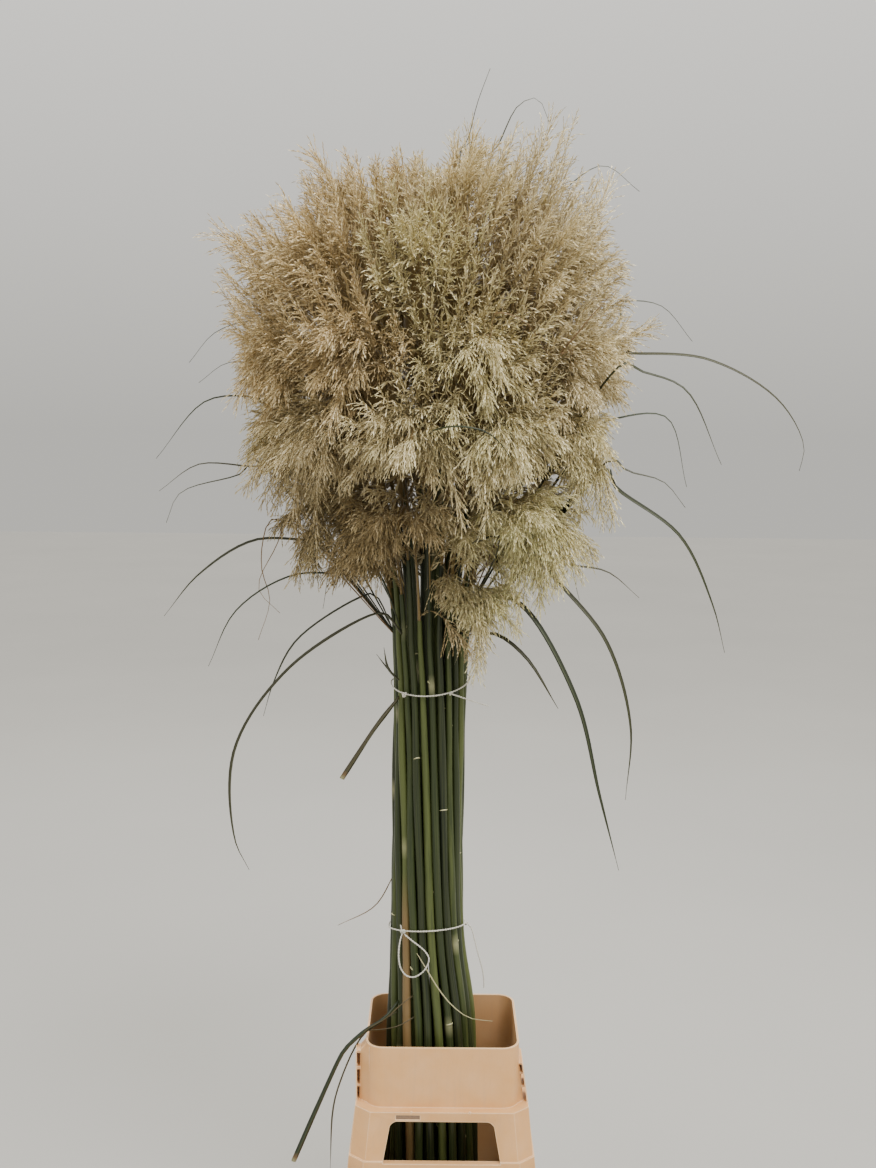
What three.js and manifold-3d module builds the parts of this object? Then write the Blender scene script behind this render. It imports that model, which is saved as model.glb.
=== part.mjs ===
// A tied bunch of cut pampas grass standing in a plastic cut-flower bucket with its stacking collar.
// Millimetres, +Z up, +X to the right of the front, +Y to the back.
// The origin is the centre of the bucket's flat bottom.

import * as THREE from "three";
import { mergeVertices } from "three/addons/utils/BufferGeometryUtils.js";
import Module from "manifold-3d";

const wasm = await Module();
wasm.setup();

// ---------------------------------------------------------------- driving dimensions

const GAP = 0.3; // between pieces that touch
const WALL = 3; // moulded plastic

const BUCKET = { height: 262, bottom: [232, 182], top: [264, 214], corner: 26, floor: 4 };
const RIM = { size: [276, 226], corner: 30, drop: 12 };
const WATER_TOP = 92;

const COLLAR = { rail: 285, ledge: 360, rim: 452 };
const SLEEVE = { bottom: [226, 178], top: [222, 174], corner: 26 };
const FRAME = { bottom: [276, 226], top: [253, 205], chamfer: [23, 18] };
const RAIL_WALL = 7;
const TONGUE = { size: [255, 205], drop: 10 }; // keeps the collar in the bucket's mouth
const WINDOW = { sill: 285, head: 345, corner: 12, front: [173, 151], side: [124, 104] };
const LABEL = { x: -50, z: 352.5, width: 36, height: 7, depth: 0.6 };
const FLANGE = { depth: 56, top: 414, ribs: [378, 395, 412], thick: 2.5, topReach: 8 };

const TIES = { lower: 606, upper: 986 };
const TWINE = 2.4;
const TWINE_STEP = 2.5; // between the rings of a free piece of twine, in its diameters
const KNOTS = {
  lower: [{ angle: -2.176, radius: 4.2 }, { angle: -0.134, radius: 2.6 }],
  upper: [{ angle: -2.218, radius: 4.2 }, { angle: -1.063, radius: 2.6 }],
};

// The twine's free ends and its hanging loop. Each leaves its tie and is given as [x, y, z].
const TWINE_ROUTES = {
  upper_tail: [
    [9, -54, 975.2],
    [13, -55.4, 974.2],
    [18, -56.4, 972.8],
    [24, -56.8, 970.8],
    [31, -56.4, 968.4],
    [38, -55.4, 965.8],
    [45, -54, 963.2],
    [51, -52.6, 961],
    [57, -51, 959],
    [62, -49.6, 957.2],
  ],
  lower_tail: [
    [37.5, -9.2, 609.6],
    [40.6, -10.8, 607.2],
    [43, -12.4, 603],
    [44.8, -13.6, 597.5],
    [46.6, -14.5, 591],
    [48.5, -15, 583],
    [51, -15, 573],
    [54, -14.5, 562],
    [57, -14, 551],
    [60, -13, 539],
    [62, -12.5, 525],
    [63, -12, 510],
  ],
  lower_loop: [
    [-61.9, -54.3, 611.8],
    [-63.6, -58.5, 606.8],
    [-65, -62.5, 600],
    [-65.9, -66.5, 591],
    [-65.5, -69.5, 580],
    [-62.5, -71, 567],
    [-54, -72, 556.5],
    [-43, -72, 554.5],
    [-31.5, -71.5, 561],
    [-23.5, -70.5, 572],
    [-21.5, -70, 583],
    [-27, -69, 592.6],
    [-36, -66.8, 600],
    [-45.5, -63, 605.8],
    [-53, -58, 609.8],
    [-57.9, -54.2, 612.5],
  ],
};
const FAN_START = 1050; // the culms stay side by side up to here

// The culms stand in three rings. Radius of each ring at the foot, the rim and the two ties.
const RINGS = [
  { count: 24, foot: [72, 58], rim: 61, lower: 50, upper: 50, levels: "BCABCBAC" },
  { count: 12, foot: [45, 37], rim: 37, lower: 30, upper: 30, levels: "DED" },
  { count: 4, foot: [19, 16], rim: 14, lower: 7.4, upper: 7.4, levels: "FG" },
];
const BODY_SIZE = 4; // culms that are pressed into one body
const CULM_RADIUS = [6.1, 6.8];
const CULM_SIDES = 5;
const CORNER = 1.12; // a side's corner stands out this much past the culm's radius
const NECK_RADIUS = 3.4; // where the plume begins
const PRESSED = 0.83; // distance of pressed culms over the sum of their radii

// Height, sideways place of the bunch's middle, and turn of the rings about it.
const MIDDLE = { foot: -13, rim: -18, lower: -25, upper: -23 };
const TURN = { foot: 0.15, rim: 0.08, lower: 0, upper: -0.35, fan: -0.42 };

// How each kind of culm fans out: the two handles and the tip of its curve, as distance from
// the bunch's middle and height, and the length of its plume.
const LEVELS = {
  A: { handles: [[60, 1180], [128, 1350]], tip: [176, 1205], plume: 270 },
  B: { handles: [[58, 1250], [170, 1485]], tip: [254, 1312], plume: 390 },
  C: { handles: [[56, 1280], [170, 1545]], tip: [280, 1462], plume: 420 },
  D: { handles: [[36, 1300], [130, 1560]], tip: [236, 1602], plume: 430 },
  E: { handles: [[33, 1350], [80, 1600]], tip: [146, 1698], plume: 430 },
  F: { handles: [[10, 1350], [25, 1600]], tip: [50, 1745], plume: 430 },
  G: { handles: [[12, 1350], [50, 1600]], tip: [98, 1728], plume: 430 },
};
const TIP_SCATTER = { out: 12, up: 16, round: 0.1 };

// A plume is a slim core with fat drooping tassels standing out of it.
const CORE = {
  shares: [0, 0.35, 0.75, 1],
  radii: [3.4, 36, 54, 20],
  small: [0.3, 500], // a plume's core is this share and its length over this of the full size
  fill: 0.78, // of the room to the next culm
  sides: 4,
};
const TASSELS = 12;
const GOLDEN_ANGLE = 2.39996;
const TASSEL = {
  roots: [0.28, 0.98], // shares of the plume between which the tassels leave it
  crowd: 0.75, // below 1, they crowd towards the tip
  reach: [84, 74], // past the core, at the neck and at the tip
  uneven: [0.85, 1.15],
  bulge: 0.5, // share of the reach where the tassel is thickest
  belly: 34,
  sides: 3,
  least: 27,
  shrink: 0.9, // from one try to the next, shorter one
  splay: [80, 30], // degrees from the plume's line
  sag: 0.36,
  turns: [0, 0.35, -0.35, 0.7, -0.7],
};

// A small spray that hangs from the lowest plume at the front, beside the culms.
const HANGING = {
  culm: 22,
  route: [[36, -80, 1104], [42, -83, 1060], [42, -82, 1008]],
  radii: [7, 12, 17, 0],
};
const HEAD = { x: MIDDLE.upper, z: 1450 };

const LEAF_LANE = 50; // the furthest that a leaf runs from the middle of the plume beside it
const BLADE_KEEL = 0.2; // depth of a blade's keel over its width
const BLADE_LEAST = 1.2; // a blade's least width
const BLADE_TURNS = [0.5, 1.1]; // about its own line, from root to tip

// Arching leaves. Each leaves its culm inside the head, comes out at the first point and ends
// at the last one: [x, y, z].
const LEAVES = [
  { width: 7, route: [[-180, -40, 1195], [-275, -45, 1195], [-355, -50, 1145], [-405, -50, 1085]] },
  { width: 5, route: [[-130, -70, 1150], [-215, -85, 1150], [-295, -90, 1100], [-335, -90, 1020]] },
  {
    width: 9,
    route: [[-110, -60, 1090], [-225, -80, 1015], [-300, -90, 900], [-300, -95, 770], [-280, -95, 725]],
  },
  { width: 5, route: [[-125, -10, 1110], [-220, -10, 1045], [-255, -10, 980], [-270, -10, 930]] },
  { width: 5, route: [[-270, 10, 1300], [-365, 15, 1300], [-425, 20, 1260]] },
  { width: 4, route: [[-290, -60, 1290], [-375, -70, 1262], [-395, -70, 1220]] },
  { width: 5, route: [[-270, -60, 1395], [-335, -75, 1390], [-405, -80, 1310]] },
  { width: 4, route: [[-265, 60, 1445], [-330, 70, 1450], [-375, 75, 1420]] },
  { width: 4, route: [[-290, 70, 1510], [-350, 80, 1495], [-390, 80, 1450]] },
  { width: 6, route: [[20, -60, 1740], [34, -70, 1790], [50, -75, 1832]] },
  { width: 5, route: [[62, 30, 1750], [95, 30, 1812], [122, 30, 1822], [140, 30, 1788]] },
  { width: 5, route: [[150, 40, 1690], [220, 50, 1735], [275, 55, 1700]] },
  {
    width: 7,
    route: [[255, -40, 1462], [360, -45, 1455], [460, -50, 1400], [500, -50, 1335], [495, -50, 1300]],
  },
  { width: 6, route: [[255, -110, 1435], [315, -125, 1410], [365, -135, 1310]] },
  { width: 5, route: [[250, 70, 1372], [330, 80, 1375], [365, 85, 1270]] },
  { width: 5, route: [[245, -90, 1300], [295, -100, 1285], [325, -105, 1250]] },
  { width: 9, route: [[240, -20, 1275], [335, -25, 1205], [385, -30, 1105], [405, -30, 1035]] },
  { width: 5, route: [[165, 30, 1160], [240, 35, 1145], [290, 40, 1105]] },
  { width: 8, route: [[150, -60, 1150], [225, -75, 1060], [262, -85, 940], [258, -85, 830]] },
  { width: 8, route: [[105, -85, 1110], [180, -115, 985], [215, -125, 850], [245, -125, 740]] },
  { width: 6, route: [[75, -40, 1060], [115, -60, 1030], [160, -75, 960]] },
  { width: 5, route: [[260, 90, 1545], [320, 100, 1542], [370, 105, 1490]] },
  { width: 5, route: [[10, 300, 1400], [15, 385, 1390], [20, 430, 1310]] },
  { width: 6, route: [[-120, 210, 1200], [-190, 300, 1150], [-215, 340, 1040]] },
  { width: 6, route: [[130, 200, 1210], [200, 290, 1165], [235, 330, 1060]] },
];

// Low leaves and the stub of a cut one: the height at which each leaves its culm, and its route.
const LOW_LEAVES = [
  { width: 8, from: [-75, -20, 952], route: [[-100, -35, 915], [-155, -45, 835]] },
  {
    width: 6,
    from: [-70, -25, 505],
    route: [[-108, -42, 467], [-124, -45, 452], [-152, -48, 405], [-228, -55, 235]],
  },
  {
    width: 4,
    from: [-76, 10, 480],
    route: [[-110, 5, 463], [-126, 4, 445], [-165, 0, 350], [-178, 0, 205]],
  },
  { width: 3, from: [-76, 15, 690], route: [[-105, 10, 630], [-162, 10, 598]] },
];

const COLOURS = {
  plastic: 0xd9b48f,
  plasticBucket: 0xd2ac86,
  water: 0x9db3a8,
  twine: 0xe6e2d6,
  stem: 0x5d6b3a,
  plume: 0xb9a37c,
};

// ---------------------------------------------------------------- materials

function plasticMaterial(color) {
  return new THREE.MeshStandardMaterial({ color, roughness: 0.5, metalness: 0 });
}

function waterMaterial() {
  return new THREE.MeshStandardMaterial({ color: COLOURS.water, roughness: 0.05, metalness: 0 });
}

function twineMaterial() {
  return new THREE.MeshStandardMaterial({ color: COLOURS.twine, roughness: 0.9, metalness: 0 });
}

function stemMaterial() {
  return new THREE.MeshStandardMaterial({ color: COLOURS.stem, roughness: 0.55, metalness: 0 });
}

function plumeMaterial(index) {
  const color = new THREE.Color(COLOURS.plume).offsetHSL(0, 0, 0.06 * (spread(index, 9) - 0.5));
  return new THREE.MeshStandardMaterial({ color, roughness: 0.95, metalness: 0 });
}

// ---------------------------------------------------------------- helpers

// An evenly spread value from 0 to 1 for the index-th of a row of like things.
function spread(index, kind) {
  const value = (index + 1) * 0.6180339887 + kind * 0.7548776662;
  return value - Math.floor(value);
}

function mix(a, b, t) {
  return a + (b - a) * t;
}

// A closed body through rings of points, each counter-clockwise about the way to the next ring.
// A first or last ring of one point makes a tip.
function loft(rings) {
  const positions = rings.flat().flatMap((p) => [p.x, p.y, p.z]);
  const index = [];
  const count = Math.max(...rings.map((ring) => ring.length));
  if (rings[0].length > 1) {
    for (let k = 1; k < count - 1; k++) index.push(0, k + 1, k);
  }
  let base = 0;
  for (let r = 0; r + 1 < rings.length; r++) {
    const above = base + rings[r].length;
    for (let k = 0; k < count; k++) {
      const next = (k + 1) % count;
      if (rings[r].length === 1) {
        index.push(base, above + next, above + k);
      } else if (rings[r + 1].length === 1) {
        index.push(base + k, base + next, above);
      } else {
        index.push(base + k, base + next, above + next);
        index.push(base + k, above + next, above + k);
      }
    }
    base = above;
  }
  if (rings[rings.length - 1].length > 1) {
    for (let k = 1; k < count - 1; k++) index.push(base, base + k, base + k + 1);
  }
  const geometry = new THREE.BufferGeometry();
  geometry.setAttribute("position", new THREE.Float32BufferAttribute(positions, 3));
  geometry.setIndex(index);
  return geometry;
}

function solid(geometry) {
  const plain = geometry.clone();
  plain.deleteAttribute("normal");
  plain.deleteAttribute("uv");
  const merged = mergeVertices(plain, 1e-4);
  const vertProperties = new Float32Array(merged.attributes.position.array);
  const triVerts = new Uint32Array(merged.index.array);
  return new wasm.Manifold(new wasm.Mesh({ numProp: 3, vertProperties, triVerts }));
}

function geometryOf(body) {
  const { vertProperties, triVerts } = body.getMesh();
  const geometry = new THREE.BufferGeometry();
  geometry.setAttribute("position", new THREE.BufferAttribute(vertProperties, 3));
  geometry.setIndex(new THREE.BufferAttribute(triVerts, 1));
  return geometry;
}

function join(bodies) {
  return bodies.reduce((whole, body) => whole.add(body));
}

function largest(body) {
  return body.decompose().reduce((a, b) => (b.volume() > a.volume() ? b : a));
}

function piece(name, body, material) {
  const mesh = new THREE.Mesh(geometryOf(body), material);
  mesh.name = name;
  return mesh;
}

// A level rectangle with rounded corners, or chamfered ones where steps is 1.
function outline([width, depth], [cornerX, cornerY], steps, z) {
  const points = [];
  for (let corner = 0; corner < 4; corner++) {
    const signX = corner === 0 || corner === 3 ? 1 : -1;
    const signY = corner < 2 ? 1 : -1;
    for (let k = 0; k <= steps; k++) {
      const angle = ((corner + k / steps) * Math.PI) / 2;
      const x = signX * (width / 2 - cornerX) + cornerX * Math.cos(angle);
      const y = signY * (depth / 2 - cornerY) + cornerY * Math.sin(angle);
      points.push(new THREE.Vector3(x, y, z));
    }
  }
  return points;
}

function rounded(size, corner, z) {
  return outline(size, [corner, corner], 4, z);
}

function chamfered(size, chamfer, z) {
  return outline(size, chamfer, 1, z);
}

function inset([width, depth], by) {
  return [width - 2 * by, depth - 2 * by];
}

function sizeAt(bottom, top, t) {
  return [mix(bottom[0], top[0], t), mix(bottom[1], top[1], t)];
}

function box(low, high) {
  const size = high.map((value, k) => value - low[k]);
  const geometry = new THREE.BoxGeometry(...size);
  geometry.translate(...high.map((value, k) => (value + low[k]) / 2));
  return solid(geometry);
}

// Rings of a round section along a path, turned as little as possible from one to the next.
// A way of its own can be given to the first and to the last ring.
function tubeRings(points, radii, sides, ways = {}) {
  const rings = [];
  let across = null;
  points.forEach((point, k) => {
    const before = points[Math.max(k - 1, 0)];
    const after = points[Math.min(k + 1, points.length - 1)];
    let along = after.clone().sub(before).normalize();
    if (k === 0 && ways.first) along = ways.first;
    if (k === points.length - 1 && ways.last) along = ways.last;
    across ??= new THREE.Vector3(Math.abs(along.x) < 0.8 ? 1 : 0, Math.abs(along.x) < 0.8 ? 0 : 1, 0);
    across = across.clone().addScaledVector(along, -across.dot(along)).normalize();
    const up = along.clone().cross(across);
    if (radii[k] === 0) {
      rings.push([point.clone()]);
      return;
    }
    const ring = [];
    for (let s = 0; s < sides; s++) {
      const angle = (2 * Math.PI * s) / sides;
      const offset = across.clone().multiplyScalar(radii[k] * Math.cos(angle));
      ring.push(point.clone().add(offset).addScaledVector(up, radii[k] * Math.sin(angle)));
    }
    rings.push(ring);
  });
  return rings;
}

function distanceToPath(point, path) {
  let least = Infinity;
  const segment = new THREE.Line3();
  const nearest = new THREE.Vector3();
  for (let k = 0; k + 1 < path.length; k++) {
    segment.set(path[k], path[k + 1]).closestPointToPoint(point, true, nearest);
    least = Math.min(least, nearest.distanceTo(point));
  }
  return least;
}

// ---------------------------------------------------------------- culms

// The tied part of a culm: its place at the foot, the rim, the two ties and the fan's start.
function tiedPoints(ring, slot) {
  const even = (2 * Math.PI * (slot + 0.5)) / ring.count;
  const body = Math.floor(slot / BODY_SIZE);
  const bodies = ring.count / BODY_SIZE;
  const middle = (2 * Math.PI * (body + 0.5)) / bodies;
  const step = (PRESSED * (CULM_RADIUS[0] + CULM_RADIUS[1])) / ring.upper;
  const chord = bodies === 1 ? Math.PI / 2 : step;
  const pressed = middle + ((slot % BODY_SIZE) - (BODY_SIZE - 1) / 2) * chord;
  const place = (angle, radius, x, z) => {
    const [across, deep] = Array.isArray(radius) ? radius : [radius, radius];
    return new THREE.Vector3(x + across * Math.cos(angle), deep * Math.sin(angle), z);
  };
  const foot = BUCKET.floor + 2 * GAP;
  return [
    place(even + TURN.foot, ring.foot, MIDDLE.foot, foot),
    place(even + TURN.rim, ring.rim, MIDDLE.rim, COLLAR.rim),
    place(pressed + TURN.lower, ring.lower, MIDDLE.lower, TIES.lower),
    place(pressed + TURN.upper, ring.upper, MIDDLE.upper, TIES.upper),
    place(mix(pressed, even, 0.8) + TURN.fan, ring.upper + 3, MIDDLE.upper, FAN_START),
  ];
}

// The free part of a culm, from the fan's start to the tip of its plume.
function fanCurve(ring, slot, index, start) {
  const level = LEVELS[ring.levels[slot % ring.levels.length]];
  const angle = (2 * Math.PI * (slot + 0.5)) / ring.count + TURN.fan;
  const swing = TIP_SCATTER.round * (2 * spread(index, 1) - 1);
  const out = TIP_SCATTER.out * (2 * spread(index, 2) - 1);
  const up = TIP_SCATTER.up * (2 * spread(index, 3) - 1);
  const place = ([radius, z], share) => {
    const turned = angle + swing * share;
    const far = radius + out * share;
    return new THREE.Vector3(
      MIDDLE.upper + far * Math.cos(turned),
      far * Math.sin(turned),
      z + up * share,
    );
  };
  const [first, second] = level.handles;
  return new THREE.CubicBezierCurve3(start, place(first, 0), place(second, 0.6), place(level.tip, 1));
}

function makeCulms() {
  const culms = [];
  for (const ring of RINGS) {
    for (let slot = 0; slot < ring.count; slot++) {
      const index = culms.length;
      const level = LEVELS[ring.levels[slot % ring.levels.length]];
      const tied = tiedPoints(ring, slot);
      const curve = fanCurve(ring, slot, index, tied[tied.length - 1]);
      const neck = 1 - level.plume / curve.getLength();
      culms.push({
        index,
        tied,
        neck,
        plume: level.plume,
        radius: mix(...CULM_RADIUS, spread(index, 4)),
        at: (t) => curve.getPointAt(t),
        along: (t) => curve.getTangentAt(t),
        core: CORE.shares.map((share) => curve.getPointAt(mix(neck, 1, share))),
        stem: [...tied, curve.getPointAt(neck / 2), curve.getPointAt(neck)],
        axis: [...tied.slice(2, -1), ...curve.getSpacedPoints(24)],
      });
    }
  }
  return culms;
}

const culms = makeCulms();

// How far a point may swell before it reaches another culm's share of the head.
function roomAt(point, own) {
  const toOwn = distanceToPath(point, culms[own].axis);
  let toOther = Infinity;
  for (const culm of culms) {
    if (culm.index !== own) toOther = Math.min(toOther, distanceToPath(point, culm.axis));
  }
  const culmSkin = CULM_RADIUS[1] * CORNER + GAP;
  return Math.min((toOther - toOwn) / 2, toOther - culmSkin);
}

function culmBody(culm, spare = 0) {
  const neckWay = culm.along(culm.neck);
  const points = [...culm.tied, culm.at(culm.neck).addScaledVector(neckWay, -2 * GAP)];
  const thick = culm.radius * CORNER + spare;
  const radii = [thick, thick, thick, thick, thick * 0.85, NECK_RADIUS + spare];
  return solid(loft(tubeRings(points, radii, CULM_SIDES, { last: neckWay })));
}

// ---------------------------------------------------------------- leaves

// A long narrow blade with a keel below, turned about its own line from one end to the other.
function bladeBody(points, width, spare = 0) {
  const curve = new THREE.CatmullRomCurve3(points, false, "centripetal");
  const steps = Math.max(5, Math.round(curve.getLength() / 80));
  const ends = points[points.length - 1].clone().sub(points[0]);
  const level = new THREE.Vector3(-ends.y, ends.x, 0);
  if (level.length() < 1) level.set(1, 0, 0);
  level.normalize();
  const rings = [];
  for (let k = 0; k <= steps; k++) {
    const t = k / steps;
    const point = curve.getPointAt(t);
    const along = curve.getTangentAt(t);
    const side = level.clone().addScaledVector(along, -level.dot(along)).normalize();
    const up = along.clone().cross(side);
    const turn = mix(...BLADE_TURNS, t);
    const flat = side.clone().multiplyScalar(Math.cos(turn)).addScaledVector(up, Math.sin(turn));
    const below = along.clone().cross(flat);
    const share = Math.min(1, 0.45 + 2 * t, 1.35 - 1.3 * t * t);
    const wide = Math.max(BLADE_LEAST, width * share) + 4 * spare;
    const keel = Math.max(0.8, width * BLADE_KEEL) + spare;
    const back = point.clone().addScaledVector(below, spare);
    rings.push([
      back.clone().addScaledVector(flat, -wide / 2),
      point.clone().addScaledVector(below, -keel),
      back.clone().addScaledVector(flat, wide / 2),
    ]);
  }
  return { body: solid(loft(rings)), curve };
}

function hostOf(point) {
  const distances = culms.map((culm) => distanceToPath(point, culm.axis));
  return culms[distances.indexOf(Math.min(...distances))];
}

// Up beside its culm's plume to where it comes out of the head, then along its route.
function leafPoints(leaf) {
  const route = leaf.route.map((p) => new THREE.Vector3(...p));
  const host = hostOf(route[0]);
  const samples = 40;
  let exit = 0;
  let least = Infinity;
  for (let k = 0; k <= samples; k++) {
    const away = host.at(k / samples).distanceTo(route[0]);
    if (away < least) {
      least = away;
      exit = k / samples;
    }
  }
  const root = Math.max(0.01, Math.min(host.neck - 0.02, exit) - 0.13);
  const points = [host.at(root)];
  for (let t = host.neck - 0.04; t <= exit - 0.12; t += 0.14) {
    const along = host.along(t);
    const away = route[0].clone().sub(host.at(t));
    away.addScaledVector(along, -away.dot(along)).normalize();
    const beside = Math.min(LEAF_LANE, roomAt(host.at(t), host.index) - 2 * GAP) - leaf.width / 2;
    points.push(host.at(t).addScaledVector(away, beside));
  }
  return { host, points: [...points, ...route] };
}

function lowLeafPoints(leaf) {
  const route = leaf.route.map((p) => new THREE.Vector3(...p));
  const from = new THREE.Vector3(...leaf.from);
  let best = null;
  for (const culm of culms) {
    for (let k = 0; k + 1 < culm.tied.length; k++) {
      const nearest = new THREE.Vector3();
      new THREE.Line3(culm.tied[k], culm.tied[k + 1]).closestPointToPoint(from, true, nearest);
      const away = nearest.distanceTo(from);
      if (!best || away < best.away) best = { away, culm, nearest };
    }
  }
  return { host: best.culm, points: [best.nearest, ...route] };
}

const leaves = [
  ...LEAVES.map((leaf) => ({ ...leafPoints(leaf), width: leaf.width })),
  ...LOW_LEAVES.map((leaf) => ({ ...lowLeafPoints(leaf), width: leaf.width })),
];
for (const leaf of leaves) {
  const { body, curve } = bladeBody(leaf.points, leaf.width);
  leaf.body = body;
  leaf.lane = bladeBody(leaf.points, leaf.width, 4 * GAP).body;
  leaf.path = curve.getSpacedPoints(30);
}

// ---------------------------------------------------------------- plumes

// What the plumes keep clear of: every leaf and every culm, a little fatter.
const lanes = [
  ...leaves.flatMap((leaf) => [leaf.lane, leaf.body]),
  ...culms.map((culm) => culmBody(culm, 2 * GAP)),
];

function clearOfGreen(point, radius, culm) {
  if (distanceToPath(point, culm.stem) < radius + culm.radius * CORNER + GAP) return false;
  return leaves.every((leaf) => distanceToPath(point, leaf.path) > radius + leaf.width / 2 + GAP);
}

// The core's radius at each of its rings, as far as its neighbours and the leaves allow.
function coreRadii(culm) {
  const size = Math.min(1, CORE.small[0] + culm.plume / CORE.small[1]);
  return culm.core.map((point, k) => {
    const besideLeaves = leaves.map((leaf) => distanceToPath(point, leaf.path) - leaf.width / 2);
    const room = Math.min(CORE.fill * roomAt(point, culm.index), Math.min(...besideLeaves) - 2 * GAP);
    return Math.max(CORE.radii[0] / 2, Math.min(size * CORE.radii[k], room));
  });
}

// The core's middle point and radius; share is 0 at the neck and 1 at the tip.
function coreAt(culm, radii, share) {
  const above = CORE.shares.findIndex((value) => value >= share);
  const k = Math.max(above, 1);
  const t = (share - CORE.shares[k - 1]) / (CORE.shares[k] - CORE.shares[k - 1]);
  return { middle: culm.core[k - 1].clone().lerp(culm.core[k], t), radius: mix(radii[k - 1], radii[k], t) };
}

function coreBody(culm, radii) {
  return solid(loft(tubeRings(culm.core, radii, CORE.sides, { first: culm.along(culm.neck) })));
}

// One drooping tassel: out through the core, then down under its own weight. It turns a little
// about the plume and grows shorter until it fits.
function tasselBody(culm, radii, number) {
  const share = ((number + 0.5) / TASSELS) ** TASSEL.crowd;
  const { middle, radius: deep } = coreAt(culm, radii, mix(...TASSEL.roots, share));
  const along = culm.along(mix(culm.neck, 1, share));
  const outward = middle.clone().sub(new THREE.Vector3(HEAD.x, 0, HEAD.z));
  const level = new THREE.Vector3(0, 0, 1).cross(along);
  if (level.length() < 0.05) level.set(1, 0, 0);
  const round = number * GOLDEN_ANGLE + spread(culm.index, 5) * 2 * Math.PI;
  const splay = THREE.MathUtils.degToRad(mix(...TASSEL.splay, share));
  const full = mix(...TASSEL.reach, share) * mix(...TASSEL.uneven, spread(number, 6));
  for (const turn of TASSEL.turns) {
    const side = level.clone().normalize().applyAxisAngle(along, round + turn);
    if (side.dot(outward) < -0.3 * outward.length()) side.negate();
    const way = along.clone().multiplyScalar(Math.cos(splay)).addScaledVector(side, Math.sin(splay));
    for (let reach = full; reach > TASSEL.least; reach *= TASSEL.shrink) {
      const line = tasselLine(middle, way, deep, reach);
      const thick = TASSEL.belly * Math.min(1, 0.4 + reach / full);
      if (tasselFits(line, thick, culm)) {
        return solid(loft(tubeRings(line, [0, thick, 0], TASSEL.sides)));
      }
    }
  }
  return null;
}

// A tassel's root inside the core, its thickest place and its tip, sagging further out.
function tasselLine(middle, way, deep, reach) {
  const root = middle.clone().addScaledVector(way, deep * 0.3);
  const belly = middle.clone().addScaledVector(way, deep + reach * TASSEL.bulge);
  const tip = middle.clone().addScaledVector(way, deep + reach);
  belly.z -= TASSEL.sag * reach * TASSEL.bulge ** 2;
  tip.z -= TASSEL.sag * reach;
  return [root, belly, tip];
}

function tasselFits([root, belly, tip], thick, culm) {
  const places = [
    [root.clone().lerp(belly, 0.6), thick * 0.6],
    [belly, thick],
    [belly.clone().lerp(tip, 0.33), thick * 0.67],
    [belly.clone().lerp(tip, 0.66), thick * 0.34],
    [tip, 0.2],
  ];
  return places.every(([p, r]) => roomAt(p, culm.index) > r + GAP / 2 && clearOfGreen(p, r, culm));
}

// The spray that hangs from its plume's core.
function hangingBody(culm) {
  const points = [culm.core[1], ...HANGING.route.map((p) => new THREE.Vector3(...p))];
  return solid(loft(tubeRings(points, HANGING.radii, CORE.sides)));
}

function plumeBody(culm) {
  const radii = coreRadii(culm);
  const parts = [coreBody(culm, radii)];
  for (let number = 0; number < TASSELS; number++) {
    const tassel = tasselBody(culm, radii, number);
    if (tassel) parts.push(tassel);
  }
  if (culm.index === HANGING.culm) parts.push(hangingBody(culm));
  return largest(lanes.reduce((body, lane) => body.subtract(lane), join(parts)));
}

// ---------------------------------------------------------------- twine

const TIE = {
  radius: RINGS[0].upper + CULM_RADIUS[1] * CORNER + TWINE / 2 + 3 * GAP,
  steps: 24,
  sides: 4,
};

// One turn of twine round the outer culms, with its knots. Its front lies `front` higher than
// its height, and its right side `right` higher.
function tieBody({ height, middle, front, right, knots }) {
  const centreAt = (angle, radius) =>
    new THREE.Vector3(
      middle + radius * Math.cos(angle),
      radius * Math.sin(angle),
      height - front * Math.min(0, Math.sin(angle)) + right * Math.cos(angle),
    );
  const positions = [];
  const index = [];
  for (let k = 0; k < TIE.steps; k++) {
    const angle = (2 * Math.PI * k) / TIE.steps;
    for (let s = 0; s < TIE.sides; s++) {
      const turn = (2 * Math.PI * s) / TIE.sides;
      const point = centreAt(angle, TIE.radius + (TWINE / 2) * Math.cos(turn));
      positions.push(point.x, point.y, point.z + (TWINE / 2) * Math.sin(turn));
      const beside = k * TIE.sides + ((s + 1) % TIE.sides);
      const ahead = (((k + 1) % TIE.steps) * TIE.sides) + s;
      const across = ((k + 1) % TIE.steps) * TIE.sides + ((s + 1) % TIE.sides);
      index.push(k * TIE.sides + s, ahead, beside, beside, ahead, across);
    }
  }
  const geometry = new THREE.BufferGeometry();
  geometry.setAttribute("position", new THREE.Float32BufferAttribute(positions, 3));
  geometry.setIndex(index);
  const knotBodies = knots.map(({ angle, radius }) => {
    const { x, y, z } = centreAt(angle, TIE.radius - TWINE / 2 - 2 * GAP + radius);
    return solid(new THREE.SphereGeometry(radius, 5, 3).translate(x, y, z));
  });
  return join([solid(geometry), ...knotBodies]);
}

function twineBody(route) {
  const points = route.map((p) => new THREE.Vector3(...p));
  const extrudePath = new THREE.CatmullRomCurve3(points, false, "centripetal");
  const section = new THREE.Shape().absarc(0, 0, TWINE / 2, 0, 2 * Math.PI);
  const steps = Math.round(extrudePath.getLength() / (TWINE_STEP * TWINE));
  const options = { steps, curveSegments: 4, bevelEnabled: false, extrudePath };
  return solid(new THREE.ExtrudeGeometry(section, options));
}

// ---------------------------------------------------------------- bucket, collar and water

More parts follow.
